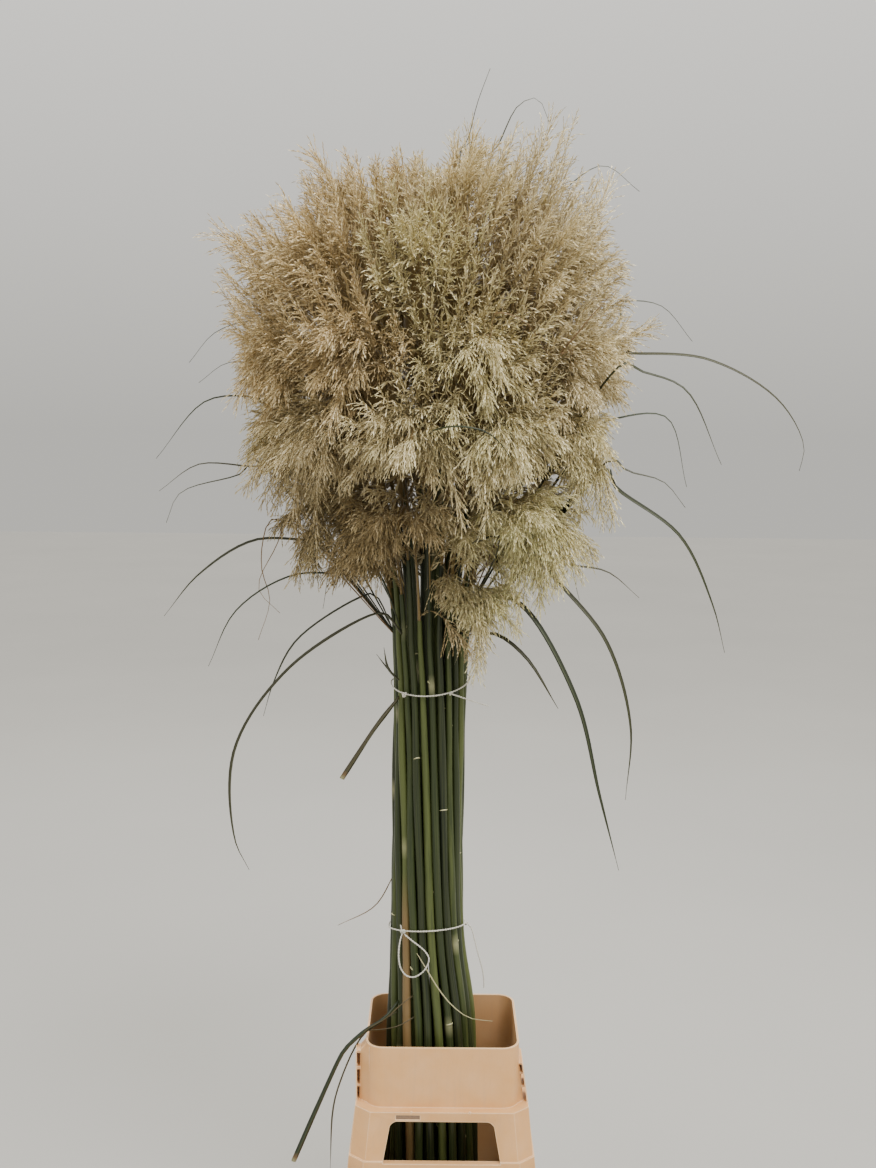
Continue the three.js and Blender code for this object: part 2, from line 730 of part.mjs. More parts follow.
function bucketBody() {
  const wallTop = BUCKET.height - RIM.drop;
  const shareTop = wallTop / BUCKET.height;
  const under = sizeAt(BUCKET.bottom, BUCKET.top, shareTop);
  const outer = loft([
    rounded(BUCKET.bottom, BUCKET.corner, 0),
    rounded(under, BUCKET.corner, wallTop),
    rounded(RIM.size, RIM.corner, wallTop),
    rounded(RIM.size, RIM.corner, BUCKET.height),
  ]);
  const inner = loft([
    rounded(inset(BUCKET.bottom, WALL), BUCKET.corner - WALL, BUCKET.floor),
    rounded(inset(BUCKET.top, WALL), BUCKET.corner - WALL, BUCKET.height + 1),
  ]);
  return solid(outer).subtract(solid(inner));
}

// The hole of a window through the collar's front and back, narrower at its rounded head.
function windowHole([sill, head], length) {
  const { corner } = WINDOW;
  const shape = new THREE.Shape();
  shape.moveTo(-sill / 2, WINDOW.sill);
  shape.lineTo(sill / 2, WINDOW.sill);
  shape.lineTo(head / 2 + 1.5, WINDOW.head - corner);
  shape.quadraticCurveTo(head / 2, WINDOW.head, head / 2 - corner, WINDOW.head);
  shape.lineTo(-head / 2 + corner, WINDOW.head);
  shape.quadraticCurveTo(-head / 2, WINDOW.head, -head / 2 - 1.5, WINDOW.head - corner);
  shape.closePath();
  const options = { depth: length, bevelEnabled: false, curveSegments: 3 };
  const geometry = new THREE.ExtrudeGeometry(shape, options);
  geometry.translate(0, 0, -length / 2);
  geometry.rotateX(Math.PI / 2);
  return geometry;
}

// A ladder of ribs between the sleeve's side and a leaning outer strip; side is -1 or 1.
function flangeBody(side) {
  const { depth, top, ribs, thick, topReach } = FLANGE;
  const footX = FRAME.top[0] / 2;
  const headX = SLEEVE.top[0] / 2 + topReach;
  const strip = loft([
    outline([thick, depth], [0.5, 0.5], 1, COLLAR.ledge - 1),
    outline([thick, depth], [0.5, 0.5], 1, top).map((p) => p.setX(p.x + headX - footX)),
  ]);
  strip.translate(footX - thick / 2, 0, 0);
  const parts = [solid(strip)];
  for (const z of ribs) {
    const reach = mix(footX, headX, (z - COLLAR.ledge) / (top - COLLAR.ledge)) - thick / 2;
    parts.push(box([SLEEVE.top[0] / 2 - 1, -depth / 2, z - 1], [reach, depth / 2, z + 1]));
  }
  const body = join(parts);
  return side > 0 ? body : body.mirror([1, 0, 0]);
}

function collarBody() {
  const { rail, ledge, rim } = COLLAR;
  const seat = BUCKET.height + GAP;
  const railShare = (rail - seat) / (ledge - seat);
  const railSize = sizeAt(FRAME.bottom, FRAME.top, railShare);
  const sleeve = solid(
    loft([
      rounded(SLEEVE.bottom, SLEEVE.corner, ledge - WALL),
      rounded(SLEEVE.top, SLEEVE.corner, rim),
    ]),
  );
  const frame = solid(
    loft([
      chamfered(FRAME.bottom, FRAME.chamfer, seat),
      chamfered(FRAME.top, FRAME.chamfer, ledge),
    ]),
  );
  const tongue = solid(
    loft([
      rounded(TONGUE.size, BUCKET.corner - WALL, seat - TONGUE.drop),
      rounded(TONGUE.size, BUCKET.corner - WALL, seat + 1),
    ]),
  );
  const mouth = inset(TONGUE.size, WALL);
  const throat = solid(
    loft([
      rounded(mouth, BUCKET.corner - WALL, seat - TONGUE.drop - 1),
      rounded(inset(FRAME.bottom, RAIL_WALL + WALL), BUCKET.corner - WALL, rail),
    ]),
  );
  const chamber = solid(
    loft([
      chamfered(inset(railSize, WALL), FRAME.chamfer, rail),
      chamfered(inset(FRAME.top, WALL), FRAME.chamfer, ledge - WALL),
    ]),
  );
  const bore = solid(
    loft([
      rounded(inset(SLEEVE.bottom, WALL), SLEEVE.corner - WALL, ledge - WALL - 1),
      rounded(inset(SLEEVE.top, WALL), SLEEVE.corner - WALL, rim + 1),
    ]),
  );
  const through = 2 * FRAME.bottom[0];
  const frontHole = solid(windowHole(WINDOW.front, through));
  const sideHole = solid(windowHole(WINDOW.side, through).rotateZ(Math.PI / 2));
  const faceY = -mix(FRAME.bottom[1], FRAME.top[1], (LABEL.z - seat) / (ledge - seat)) / 2;
  const label = box(
    [LABEL.x - LABEL.width / 2, faceY - 10, LABEL.z - LABEL.height / 2],
    [LABEL.x + LABEL.width / 2, faceY + LABEL.depth, LABEL.z + LABEL.height / 2],
  );
  const shell = join([sleeve, frame, tongue, flangeBody(-1), flangeBody(1)]);
  return [throat, chamber, bore, frontHole, sideHole, label].reduce((a, b) => a.subtract(b), shell);
}

// The water fills the bucket's foot, with a plain hole for each culm.
function waterBody() {
  const low = BUCKET.floor + GAP;
  const sizeOf = (z) => inset(sizeAt(BUCKET.bottom, BUCKET.top, z / BUCKET.height), WALL + GAP);
  const corner = BUCKET.corner - WALL;
  const block = solid(
    loft([rounded(sizeOf(low), corner, low), rounded(sizeOf(WATER_TOP), corner, WATER_TOP)]),
  );
  const holes = culms.map((culm) => {
    const [foot, rim] = culm.tied;
    const way = rim.clone().sub(foot);
    const ends = [-0.05, 0.3].map((t) => foot.clone().addScaledVector(way, t));
    return solid(loft(tubeRings(ends, ends.map(() => culm.radius * CORNER + 2 * GAP), CULM_SIDES)));
  });
  return block.subtract(join(holes));
}

// ---------------------------------------------------------------- the whole

const plant = new THREE.Group();
const add = (name, body, material) => plant.add(piece(name, body, material));
const two = (number) => String(number).padStart(2, "0");

add("bucket", bucketBody(), plasticMaterial(COLOURS.plasticBucket));
add("collar", collarBody(), plasticMaterial(COLOURS.plastic));
add("water", waterBody(), waterMaterial());

for (let first = 0; first < culms.length; first += BODY_SIZE) {
  const own = culms.slice(first, first + BODY_SIZE);
  const parts = own.map((culm) => culmBody(culm));
  for (const leaf of leaves) {
    if (own.includes(leaf.host)) parts.push(leaf.body);
  }
  add(`stems_${two(first / BODY_SIZE + 1)}`, join(parts), stemMaterial());
}

culms.forEach((culm) => add(`plume_${two(culm.index + 1)}`, plumeBody(culm), plumeMaterial(culm.index)));

const lowerTie = { height: TIES.lower, middle: MIDDLE.lower, front: 13, right: 3, knots: KNOTS.lower };
const upperTie = { height: TIES.upper, middle: MIDDLE.upper, front: -13, right: 4, knots: KNOTS.upper };
add("tie_lower", tieBody(lowerTie), twineMaterial());
add("tie_upper", tieBody(upperTie), twineMaterial());
for (const [name, route] of Object.entries(TWINE_ROUTES)) add(name, twineBody(route), twineMaterial());

export default plant;
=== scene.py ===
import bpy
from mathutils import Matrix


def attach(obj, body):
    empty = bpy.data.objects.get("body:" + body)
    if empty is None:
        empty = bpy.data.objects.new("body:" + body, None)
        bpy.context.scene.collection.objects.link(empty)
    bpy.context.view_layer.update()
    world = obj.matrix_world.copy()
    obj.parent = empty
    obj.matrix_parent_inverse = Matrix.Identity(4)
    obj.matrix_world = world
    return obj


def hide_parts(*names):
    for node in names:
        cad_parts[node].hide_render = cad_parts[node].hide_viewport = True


bl_info = {
    "name": "Pampas Grass Bunch",
    "version": (1, 0, 0),
    "blender": (4, 5, 0),
    "location": "View3D > Sidebar > Pampas",
    "description": "Dresses a tied bunch of pampas grass and its flower bucket",
    "category": "Add Mesh",
}

import math

import bmesh
import bpy
import numpy as np
from bpy.props import FloatProperty, FloatVectorProperty, IntProperty, PointerProperty
from mathutils import Matrix, Vector

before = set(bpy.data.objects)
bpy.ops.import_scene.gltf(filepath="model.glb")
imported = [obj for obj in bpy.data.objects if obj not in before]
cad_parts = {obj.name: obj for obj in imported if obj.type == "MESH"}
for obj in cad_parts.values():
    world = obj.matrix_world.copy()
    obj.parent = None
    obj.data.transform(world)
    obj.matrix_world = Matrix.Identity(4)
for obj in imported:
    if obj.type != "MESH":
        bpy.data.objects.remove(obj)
for leftover in ("Cube", "Camera", "Light"):
    if leftover in bpy.data.objects:
        bpy.data.objects.remove(bpy.data.objects[leftover])
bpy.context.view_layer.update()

MM = 0.001
BODY = "root"

# ---------------------------------------------------------------- the bunch, in millimetres

TIES = {"lower": 606, "upper": 986}
FAN_START = 1050
FAN_OUT = 3
FOOT = 4.6
RIM_HEIGHT = 452
RINGS = (
    {
        "count": 24,
        "foot": (72, 58),
        "rim": 61,
        "lower": 50,
        "upper": 50,
        "levels": "BCABCBAC",
        "ripeness": "yglgsgststcsscytstwclyfg",
    },
    {
        "count": 12,
        "foot": (45, 37),
        "rim": 37,
        "lower": 30,
        "upper": 30,
        "levels": "DED",
        "ripeness": "ggsssttttfsg",
    },
    {
        "count": 4,
        "foot": (19, 16),
        "rim": 14,
        "lower": 7.4,
        "upper": 7.4,
        "levels": "FG",
        "ripeness": "scts",
    },
)
BODY_SIZE = 4
CULM_RADIUS = (6.1, 6.8)
NECK_RADIUS = 3.4
MIDDLE = {"foot": -13, "rim": -18, "lower": -25, "upper": -23}
TURN = {"foot": 0.15, "rim": 0.08, "lower": 0, "upper": -0.35, "fan": -0.42}
LEVELS = {
    "A": {"handles": ((60, 1180), (128, 1350)), "tip": (176, 1205), "plume": 270},
    "B": {"handles": ((58, 1250), (170, 1485)), "tip": (254, 1312), "plume": 390},
    "C": {"handles": ((56, 1280), (170, 1545)), "tip": (280, 1462), "plume": 420},
    "D": {"handles": ((36, 1300), (130, 1560)), "tip": (236, 1602), "plume": 430},
    "E": {"handles": ((33, 1350), (80, 1600)), "tip": (146, 1698), "plume": 430},
    "F": {"handles": ((10, 1350), (25, 1600)), "tip": (50, 1745), "plume": 430},
    "G": {"handles": ((12, 1350), (50, 1600)), "tip": (98, 1728), "plume": 430},
}
TIP_SCATTER = {"out": 12, "up": 16, "round": 0.1}
HEAD = np.array((-23.0, 0.0, 1450.0))
# How far the head reaches from its middle to the left, to the right, and to the front and back,
# by degrees above the horizon.
HEAD_REACH = (
    (-90, 290, 290, 290),
    (-62, 272, 296, 286),
    (-45, 246, 314, 290),
    (-28, 290, 286, 282),
    (-12, 272, 266, 280),
    (5, 284, 276, 280),
    (18, 316, 290, 288),
    (32, 336, 302, 295),
    (48, 310, 356, 300),
    (60, 320, 404, 300),
    (75, 264, 320, 280),
    (90, 290, 326, 276),
)
# Tufts hanging lower than the head, of as many tassels each, which stray that far, and plume tips
# standing out of it.
LOW_SHARE = 3
LOW_STRAY = 12
LOW_TUFTS = (
    (3, -95, 1153), (18, -95, 1132), (32, -95, 1112), (60, -95, 1084), (48, -90, 1104),
    (72, -98, 1128), (80, -95, 1168), (101, -95, 1130), (90, -100, 1108), (121, -95, 1168),
    (135, -95, 1150), (46, -88, 1050), (-160, -120, 1182), (-190, -60, 1172), (-128, -140, 1178),
    (-202, -120, 1188), (-165, -110, 1168), (-215, -140, 1220), (-180, -140, 1205),
    (-140, -130, 1192), (-245, -60, 1240), (-252, -110, 1272), (-276, -120, 1303),
    (-150, -60, 1190), (-118, -120, 1182), (-98, -110, 1195), (-90, 70, 1190), (-60, 110, 1186),
    (-30, 60, 1180), (0, 100, 1185), (30, 70, 1180), (60, 110, 1190), (90, 60, 1185),
    (-120, 40, 1195), (120, 30, 1190), (-45, 30, 1176), (-72, 10, 1180), (190, -100, 1204),
    (170, -100, 1186), (212, -60, 1226), (150, -110, 1168), (228, -90, 1246),
)
TIP_SPRAYS = (
    (-329, -20, 1624), (-190, -55, 1726), (-77, -60, 1714), (32, -60, 1730), (146, 20, 1797),
    (222, -10, 1706), (290, 0, 1503), (-289, -100, 1391),
)
# The gap at the front of the head's foot, where the culms show, and the hollow above it: lowest
# and highest corner of each.
PARTINGS = (
    ((-112, -400, 1000), (-10, -40, 1208)),
    ((-92, -400, 1200), (-42, -120, 1305)),
)
# Where the florets are greener: middle and half size across and up, and how much greener.
FRESH_SPOTS = (
    ((-18, 1440), (48, 110), 0.2),
    ((34, 1355), (60, 45), 0.3),
    ((166, 1268), (60, 60), 0.35),
    ((86, 1160), (55, 70), 0.75),
)
# How warm, how green and how pale a plume is.
RIPENESS = {
    "t": (0.9, 0.0, 0.85),
    "w": (0.7, 0.05, 0.9),
    "s": (0.35, 0.12, 1.0),
    "c": (0.15, 0.22, 1.0),
    "g": (0.05, 0.0, 0.92),
    "y": (0.1, 0.35, 1.0),
    "l": (0.1, 0.42, 0.95),
    "f": (0.0, 0.55, 1.0),
}
# A plume's colours stray by that much from its own.
TINT_STRAY = 0.15
GOLDEN_ANGLE = 2.39996
# A way that no branch follows, to measure turns from.
ASLANT = (0.31, 0.23, 0.92)

# The layers of tassels, in shares of the head's reach. The outside one leaves out what points
# nearly straight down, and each layer inside has so many times fewer tassels.
OUTER_LAYER = {"span": (0.86, 1.03), "lowest": -0.9}
INNER_LAYERS = ({"span": (0.7, 0.86), "fewer": 1}, {"span": (0.4, 0.6), "fewer": 3})
# How far neighbouring plumes reach into each other.
MINGLE = 55
# How far above the head's middle its low half begins, and over what height it sets in.
LOW_HALF = {"above": 60, "fade": 300}
# A plume's stalk: its girth at both ends, in radii, and where its florets begin.
RACHIS = {"points": 14, "girth": (3.2, 0.7), "bare": 4}
# A plume's fat middle, a dark fill in painted shade: its radii at those shares of its length, for a plume
# as long as that, and how near the head's outside it may come before it thins.
CORE = {
    "points": 9,
    "shares": (0, 0.3, 0.65, 1),
    "radii": (1, 8, 26, 9),
    "plume": 400,
    "deep": 0.84,
    "fade": 0.2,
    "least": 0.25,
}
# Inside the head the strands are longer, wider and farther apart, on fewer side branches.
INNER = {"lush": 3.2, "coarse": 2.6, "sparse": 2.0}
INNER_BRANCHES = 4
# A tassel leaves its culm so far back, high up and low down: a multiple of its distance from the
# culm, and that much more, but no more than the last.
TASSEL = {"back": (1.3, 0.75), "more": 35, "most": (200, 150)}
# The side branches of a tassel: where they begin and their tilt in degrees, high up and low down,
# then their reach, from the first to the last.
SIDE = {
    "first": (0.4, 0.55),
    "last": 0.97,
    "stray": 0.6,
    "least_tilt": (6, 14),
    "most_tilt": (40, 66),
    "reach": (34, 15),
    "vary": (0.7, 1.3),
    "sag": 0.35,
}
# The end of a plume, and of one that stands far out: its branches, their greatest tilt and reach.
TIP = {"root": 0.86, "handle": 0.95, "out": 1.05, "least_tilt": 8, "sag": 0.15}
NEAR_TIP = {"branches": 40, "tilt": 32, "reach": 62}
FAR_TIP = {"branches": 80, "tilt": 42, "reach": 78}

# A strand: how far it leans at least and at most, over the spread, how its length varies, and its
# width. The share of the strands that are not bright, and how much wider a bright one is.
STRAND = {"lean": (0.2, 1.0), "length": (0.5, 1.25), "width": 0.8, "wider": 0.4}
BRIGHT = 0.8
# How far strands hang straight down, and how much farther in the low half of the head.
FALL = {"least": 0.02, "more": 0.2, "above": 40, "fade": 320}
# Where the head turns from dark inside to light outside, in shares of its reach: the dark is painted shade
# deep in the head, partly the florets' own darker colour there.
DEEP_TINT_AND_SHADE = {"dark": 0.6, "light": 0.95}
# The underside left of the middle gets painted shade, darker florets that stand for the shade there, and it
# fades into the rest over that many millimetres.
UNDERSIDE_SHADE = {"right": 75, "top": 1370, "fade": 140, "dark": 0.68}

# How far a culm sways in and out between the ties, over what length, and how near a tie it is held.
SWAY = {"out": 2.4, "length": 460, "held": 70, "end": 60}
# A culm keeps most of its thickness up to that share of its length.
TAPER = {"share": 0.72, "radius": 0.92}
# The nodes of a culm: half the width of one in metres, how much it swells and how pale its scar is.
NODE = {"width": 0.004, "swell": 0.05, "scar": 0.45}
# The torn edge of a sheath at a node: half its arc, its least height and what the middle adds, how
# far out it stands and its radius.
LIP = {"points": 6, "arc": 1.15, "low": 3.5, "middle": 4.5, "out": 1.04, "radius": 1.1, "end": 0.25}
# The culm whose foot has turned to straw, up to that height.
DRY = {"culm": 15, "top": 700, "fade": 70}

# The twine's free ends and its hanging loop, each from its tie on.
TWINE_ROUTES = {
    "upper_tail": (
        (9, -54, 975.2), (13, -55.4, 974.2), (18, -56.4, 972.8), (24, -56.8, 970.8),
        (31, -56.4, 968.4), (38, -55.4, 965.8), (45, -54, 963.2), (51, -52.6, 961), (57, -51, 959),
        (62, -49.6, 957.2),
    ),
    "lower_tail": (
        (37.5, -9.2, 609.6), (40.6, -10.8, 607.2), (43, -12.4, 603), (44.8, -13.6, 597.5),
        (46.6, -14.5, 591), (48.5, -15, 583), (51, -15, 573), (54, -14.5, 562), (57, -14, 551),
        (60, -13, 539), (62, -12.5, 525), (63, -12, 510),
    ),
    "lower_loop": (
        (-61.9, -54.3, 611.8), (-63.6, -58.5, 606.8), (-65, -62.5, 600), (-65.9, -66.5, 591),
        (-65.5, -69.5, 580), (-62.5, -71, 567), (-54, -72, 556.5), (-43, -72, 554.5),
        (-31.5, -71.5, 561), (-23.5, -70.5, 572), (-21.5, -70, 583), (-27, -69, 592.6),
        (-36, -66.8, 600), (-45.5, -63, 605.8), (-53, -58, 609.8), (-57.9, -54.2, 612.5),
    ),
}
# How much higher a tie lies in front and on the right, and how far it stands out from the culms.
TIE_RISE = {"lower": (13, 3), "upper": (-13, 4)}
TIE_OUT = 1.3
# The ties' knots: middle, size and tilt. One of the lower tie's has a short cut end.
KNOTS = {
    "lower": (((-60.6, -52.4, 615), 3.6, 0.4), ((35.2, -8.1, 610.5), 2.4, 1.3)),
    "upper": (((-60.6, -50.8, 973.5), 3.6, -0.3), ((6.6, -53.6, 976), 2.4, 0.9)),
}
KNOT_END = ((-60, -54, 615), (-61, -57.5, 618), (-62.5, -59, 623), (-63.5, -59.5, 629))
# A strand's place and its radius, over the twine's diameter.
TWIST = {"out": 0.235, "radius": 0.265, "steps": 9}

# Arching leaves: width, then the route from where each comes out of the head to its tip. The dry
# ones are withered curls and a sheath that hasn't opened.
LEAVES = (
    (7, ((-180, -40, 1195), (-275, -45, 1195), (-355, -50, 1145), (-405, -50, 1085))),
    (5, ((-130, -70, 1150), (-215, -85, 1150), (-295, -90, 1100), (-335, -90, 1020))),
    (9, ((-110, -60, 1090), (-225, -80, 1015), (-300, -90, 900), (-300, -95, 770), (-280, -95, 725))),
    (5, ((-125, -10, 1110), (-220, -10, 1045), (-255, -10, 980), (-270, -10, 930))),
    (5, ((-270, 10, 1300), (-365, 15, 1300), (-425, 20, 1260))),
    (4, ((-290, -60, 1290), (-375, -70, 1262), (-395, -70, 1220))),
    (5, ((-270, -60, 1395), (-335, -75, 1390), (-405, -80, 1310))),
    (4, ((-265, 60, 1445), (-330, 70, 1450), (-375, 75, 1420))),
    (4, ((-290, 70, 1510), (-350, 80, 1495), (-390, 80, 1450))),
    (6, ((20, -60, 1740), (34, -70, 1790), (50, -75, 1832))),
    (5, ((62, 30, 1750), (95, 30, 1812), (122, 30, 1822), (140, 30, 1788))),
    (5, ((150, 40, 1690), (220, 50, 1735), (275, 55, 1700))),
    (7, ((255, -40, 1462), (360, -45, 1455), (460, -50, 1400), (500, -50, 1335), (495, -50, 1300))),
    (6, ((255, -110, 1435), (315, -125, 1410), (365, -135, 1310))),
    (5, ((250, 70, 1372), (330, 80, 1375), (365, 85, 1270))),
    (5, ((245, -90, 1300), (295, -100, 1285), (325, -105, 1250))),
    (9, ((240, -20, 1275), (335, -25, 1205), (385, -30, 1105), (405, -30, 1035))),
    (5, ((165, 30, 1160), (240, 35, 1145), (290, 40, 1105))),
    (8, ((150, -60, 1150), (225, -75, 1060), (262, -85, 940), (258, -85, 830))),
    (8, ((105, -85, 1110), (180, -115, 985), (215, -125, 850), (245, -125, 740))),
    (6, ((75, -40, 1060), (115, -60, 1030), (160, -75, 960))),
    (5, ((260, 90, 1545), (320, 100, 1542), (370, 105, 1490))),
    (
        5,
        (
            (-30, -130, 1312), (-24, -215, 1345), (-20, -262, 1352), (12, -300, 1357),
            (44, -304, 1350), (66, -302, 1330), (89, -296, 1284),
        ),
    ),
    (
        4,
        (
            (36, -150, 1204), (37, -230, 1216), (38, -272, 1228), (52, -290, 1255),
            (67, -292, 1281), (89, -290, 1291),
        ),
    ),
    (5, ((-20, -30, 1650), (1, -55, 1695), (12, -60, 1730), (39, -60, 1748))),
    (5, ((10, 300, 1400), (15, 385, 1390), (20, 430, 1310))),
    (6, ((-120, 210, 1200), (-190, 300, 1150), (-215, 340, 1040))),
    (6, ((130, 200, 1210), (200, 290, 1165), (235, 330, 1060))),
)
DRY_LEAVES = (
    (4, ((50, -262, 1492), (72, -292, 1489), (92, -296, 1477), (117, -292, 1441))),
    (9, ((140, -190, 1450), (161, -218, 1477), (179, -222, 1500), (208, -215, 1530))),
    (3, ((-250, -60, 1225), (-261, -60, 1196), (-263, -60, 1154), (-252, -60, 1111), (-269, -60, 1053))),
    (3, ((-225, -70, 1225), (-240, -75, 1190), (-265, -80, 1130), (-235, -80, 1095))),
)
# Low leaves: width, whether the end is cut square, how dry, then the route from the culm on.
LOW_LEAVES = (
    (8, True, 0.2, ((-73, -40, 962), (-102, -55, 925), (-126, -59, 888), (-150, -60, 850))),
    (
        8,
        True,
        0.0,
        (
            (-70, -45, 507), (-88, -58, 482), (-113, -60, 466), (-144, -61, 437), (-151, -61, 426),
            (-187, -66, 345), (-222, -72, 262),
        ),
    ),
    (
        5,
        False,
        0.2,
        (
            (-72, -40, 485), (-92, -49, 474), (-113, -50, 459), (-128, -50, 439), (-150, -50, 388),
            (-164, -50, 336), (-169, -50, 232),
        ),
    ),
    (3, False, 0.9, ((-76, 15, 690), (-105, 10, 630), (-162, 10, 598))),
    (
        2,
        False,
        1.7,
        (
            (-40, -62, 590), (-25, -67, 565), (-6, -69, 534), (13, -71, 511), (39, -68, 490),
            (74, -62, 482),
        ),
    ),
    (3, False, 0.4, ((-50, -58, 521), (-64, -66, 507), (-86, -66, 486), (-112, -62, 468), (-134, -60, 447))),
    (3, False, 0.3, ((-48, -58, 482), (-66, -67, 476), (-90, -66, 470), (-112, -60, 464), (-128, -58, 452))),
    (4, False, 0.1, ((-74, -30, 985), (-84, -42, 1010), (-90, -50, 1042))),
    (3, False, 0.1, ((-76, -20, 992), (-90, -34, 1014), (-101, -40, 1030))),
)
# How a blade turns about its own length from root to tip, a whole one and a cut one, and how it
# wavers. Its keel, over its width, its thickness and its least width.
LEAF_TURNS = {"whole": (0.5, 1.1), "cut": (1.2, 1.45)}
BLADE = {"step": 14, "waver": 0.12, "waves": 9, "keel": 0.2, "thick": 0.55, "least": 0.7}
# The small spray that hangs beside the culms: its culm and its route, where its branches begin and
# how far apart they are, in steps along it.
HANGING = {
    "culm": 22,
    "route": ((36, -80, 1104), (42, -83, 1060), (42, -82, 1008)),
    "branches": 70,
    "first": 3,
    "step": 0.165,
    "reach": (18, 34),
    "sag": 0.3,
}

# ---------------------------------------------------------------- bucket and collar, in millimetres

GAP = 0.3
WALL = 3
# How far the parts of one moulding reach into each other.
BITE = 1
BUCKET = {"height": 262, "bottom": (232, 182), "top": (264, 214), "corner": 26, "floor": 4}
BUCKET_RIM = {"size": (276, 226), "corner": 30, "drop": 12}
COLLAR = {"rail": 285, "ledge": 360, "rim": 452}
SLEEVE = {"bottom": (230, 178), "top": (228, 174), "corner": 26}
FRAME = {"bottom": (276, 226), "top": (257, 205), "chamfer": (23, 18)}
RAIL_WALL = 7
TONGUE = {"size": (255, 205), "drop": 10}
WINDOW = {"sill": 285, "head": 346.5, "corner": 12, "front": (173, 155), "side": (124, 104)}
# The bare recess in the front, its own colour that far inside its edge and in front of that depth.
LABEL = {"x": -50, "z": 352.5, "width": 36, "height": 7, "depth": 0.6, "margin": 0.4, "front": -90}
# A ladder of slots on the left and on the right: a solid cheek beside the sleeve, a leaning strip
# outside it, ribs between them and a web behind. All reach so far into the sleeve. The cheek's
# front, at its root and at its outside, and the ribs' are measured from the strip's front, and the
# web from its back. Each cheek is given as (out, height) pairs.
FLANGE = {
    "front": -72,
    "back": -46,
    "thick": 1.8,
    "root": 6,
    "cheek_front": (-7, 6),
    "rib_front": 5,
    "web": (-2, -0.5),
    "left": {
        "reach": 129,
        "top": 437,
        "cheek": ((123.5, 359), (122.5, 437), (114, 447)),
        "ribs": ((380, 383), (407, 411), (433, 437)),
    },
    "right": {
        "reach": 120,
        "top": 420,
        "cheek": ((121.5, 359), (116, 410), (113, 420)),
        "ribs": ((381, 384), (402, 405), (417, 420)),
    },
}
# The rail stands out past the posts, up to a little above the windows' sills.
BAND = {"out": 1.8, "above": 3}
# Two small moulding marks on the ledge, that far behind its front edge.
PIPS = {"x": (-45, 41), "radius": 1.8, "height": 1.6, "behind": 1.2, "sides": 10}
# Edges over that angle are rounded, and shown sharp over the other one.
EDGES = {"segments": 3, "rounded": 34, "sharp": 28}
# Points nearer than that in metres are one, and faces within that angle are one.
MERGE = {"distance": 2e-5, "angle": 0.4}
# How far from an edge its wear and its painted highlight reach, in metres.
WORN_AND_LIT_EDGE = 0.002

# ---------------------------------------------------------------- light and camera, in metres

# Area lights: place, aim, size and power.
LIGHTS = {
    "key": ((1.2, -1.6, 4.0), (0.0, 0.0, 1.4), 1.8, 150),
    "fill": ((-2.6, -1.6, 2.2), (0.0, 0.0, 1.3), 2.0, 14),
    "back": ((-0.6, 2.4, 3.6), (0.0, 0.0, 1.5), 1.6, 52),
}
FLOOR_HALF = 14.0
SENSOR = 36.0
LENS = SENSOR * 1200 / 1168
CAMERA_X = -0.01306
CAMERA_TILT = math.radians(7.22)
CAMERA_ROLL = math.radians(-0.53)
FAR_CLIP = 60

# ---------------------------------------------------------------- settings


def colour(name, description, value):
    return FloatVectorProperty(
        name=name, description=description, subtype="COLOR", size=3, min=0, max=1, default=value
    )


def length(name, description, value):
    return FloatProperty(name=name, description=description, default=value, min=0, unit="LENGTH")


def whole(name, description, value, least=0):
    return IntProperty(name=name, description=description, default=value, min=least)


def ratio(name, description, value):
    return FloatProperty(name=name, description=description, default=value, subtype="FACTOR")


class PampasPlumeSettings(bpy.types.PropertyGroup):
    """Sizes and colours of the plumes"""

    tufts: whole("Tufts", "Tassels that show outside the head", 1250, 40)
    inner_tufts: whole("Inner Tufts", "Tassels of the outer layer inside the head", 450)
    side_branches: whole("Side Branches", "Side branches of a tassel that shows", 44, 1)
    strands: whole("Strands", "Strands of florets on the whole bunch", 765000, 1000)
    strand_length: length("Strand Length", "Length of a strand of florets", 0.0074)
    strand_width: length("Strand Width", "Greatest width of a strand", 0.00115)
    strand_curl: ratio("Strand Curl", "How far a strand bends aside, over its length", 0.3)
    spread: FloatProperty(
        name="Spread",
        description="Steepest angle of a strand to its branch",
        default=math.radians(22),
        subtype="ANGLE",
    )
    droop: ratio("Droop", "How far a tassel falls, over its length", 0.22)
    seed: IntProperty(name="Seed", description="Seed of the plumes' scatter", default=7)
    root: colour("Root", "Colour at a strand's root", (0.40, 0.275, 0.088))
    tip: colour("Tip", "Colour at a strand's tip", (0.87, 0.745, 0.44))
    fresh: colour("Fresh", "Colour of the young greenish plumes", (0.80, 0.77, 0.36))
    warm: colour("Warm", "Colour of the ripest plumes", (0.78, 0.57, 0.27))
    cream: colour("Cream", "Colour of the palest strands", (0.93, 0.86, 0.63))
    # Inner colour: painted shade deep inside the head, partly the florets' own darker colour there.
    inner_tint_and_shade: colour("Dusk", "Colour deep inside the head", (0.23, 0.155, 0.052))


class PampasCulmSettings(bpy.types.PropertyGroup):
    """Sizes and colours of the culms and leaves"""

    sides: whole("Sides", "Sides of a culm", 10, 5)
    internode: length("Internode", "Distance between two visible nodes of a culm", 0.52)
    deep: colour("Deep Green", "Darkest culms", (0.008, 0.012, 0.006))
    middle: colour("Green", "Most culms", (0.021, 0.032, 0.010))
    light: colour("Yellow Green", "Lightest culms", (0.086, 0.104, 0.028))
    dry: colour("Straw", "A dry culm and dry leaves", (0.19, 0.115, 0.048))
    scar: colour("Scar", "Sheath scars at the nodes", (0.52, 0.50, 0.28))
    leaf: colour("Leaf", "Arching leaves", (0.014, 0.020, 0.009))


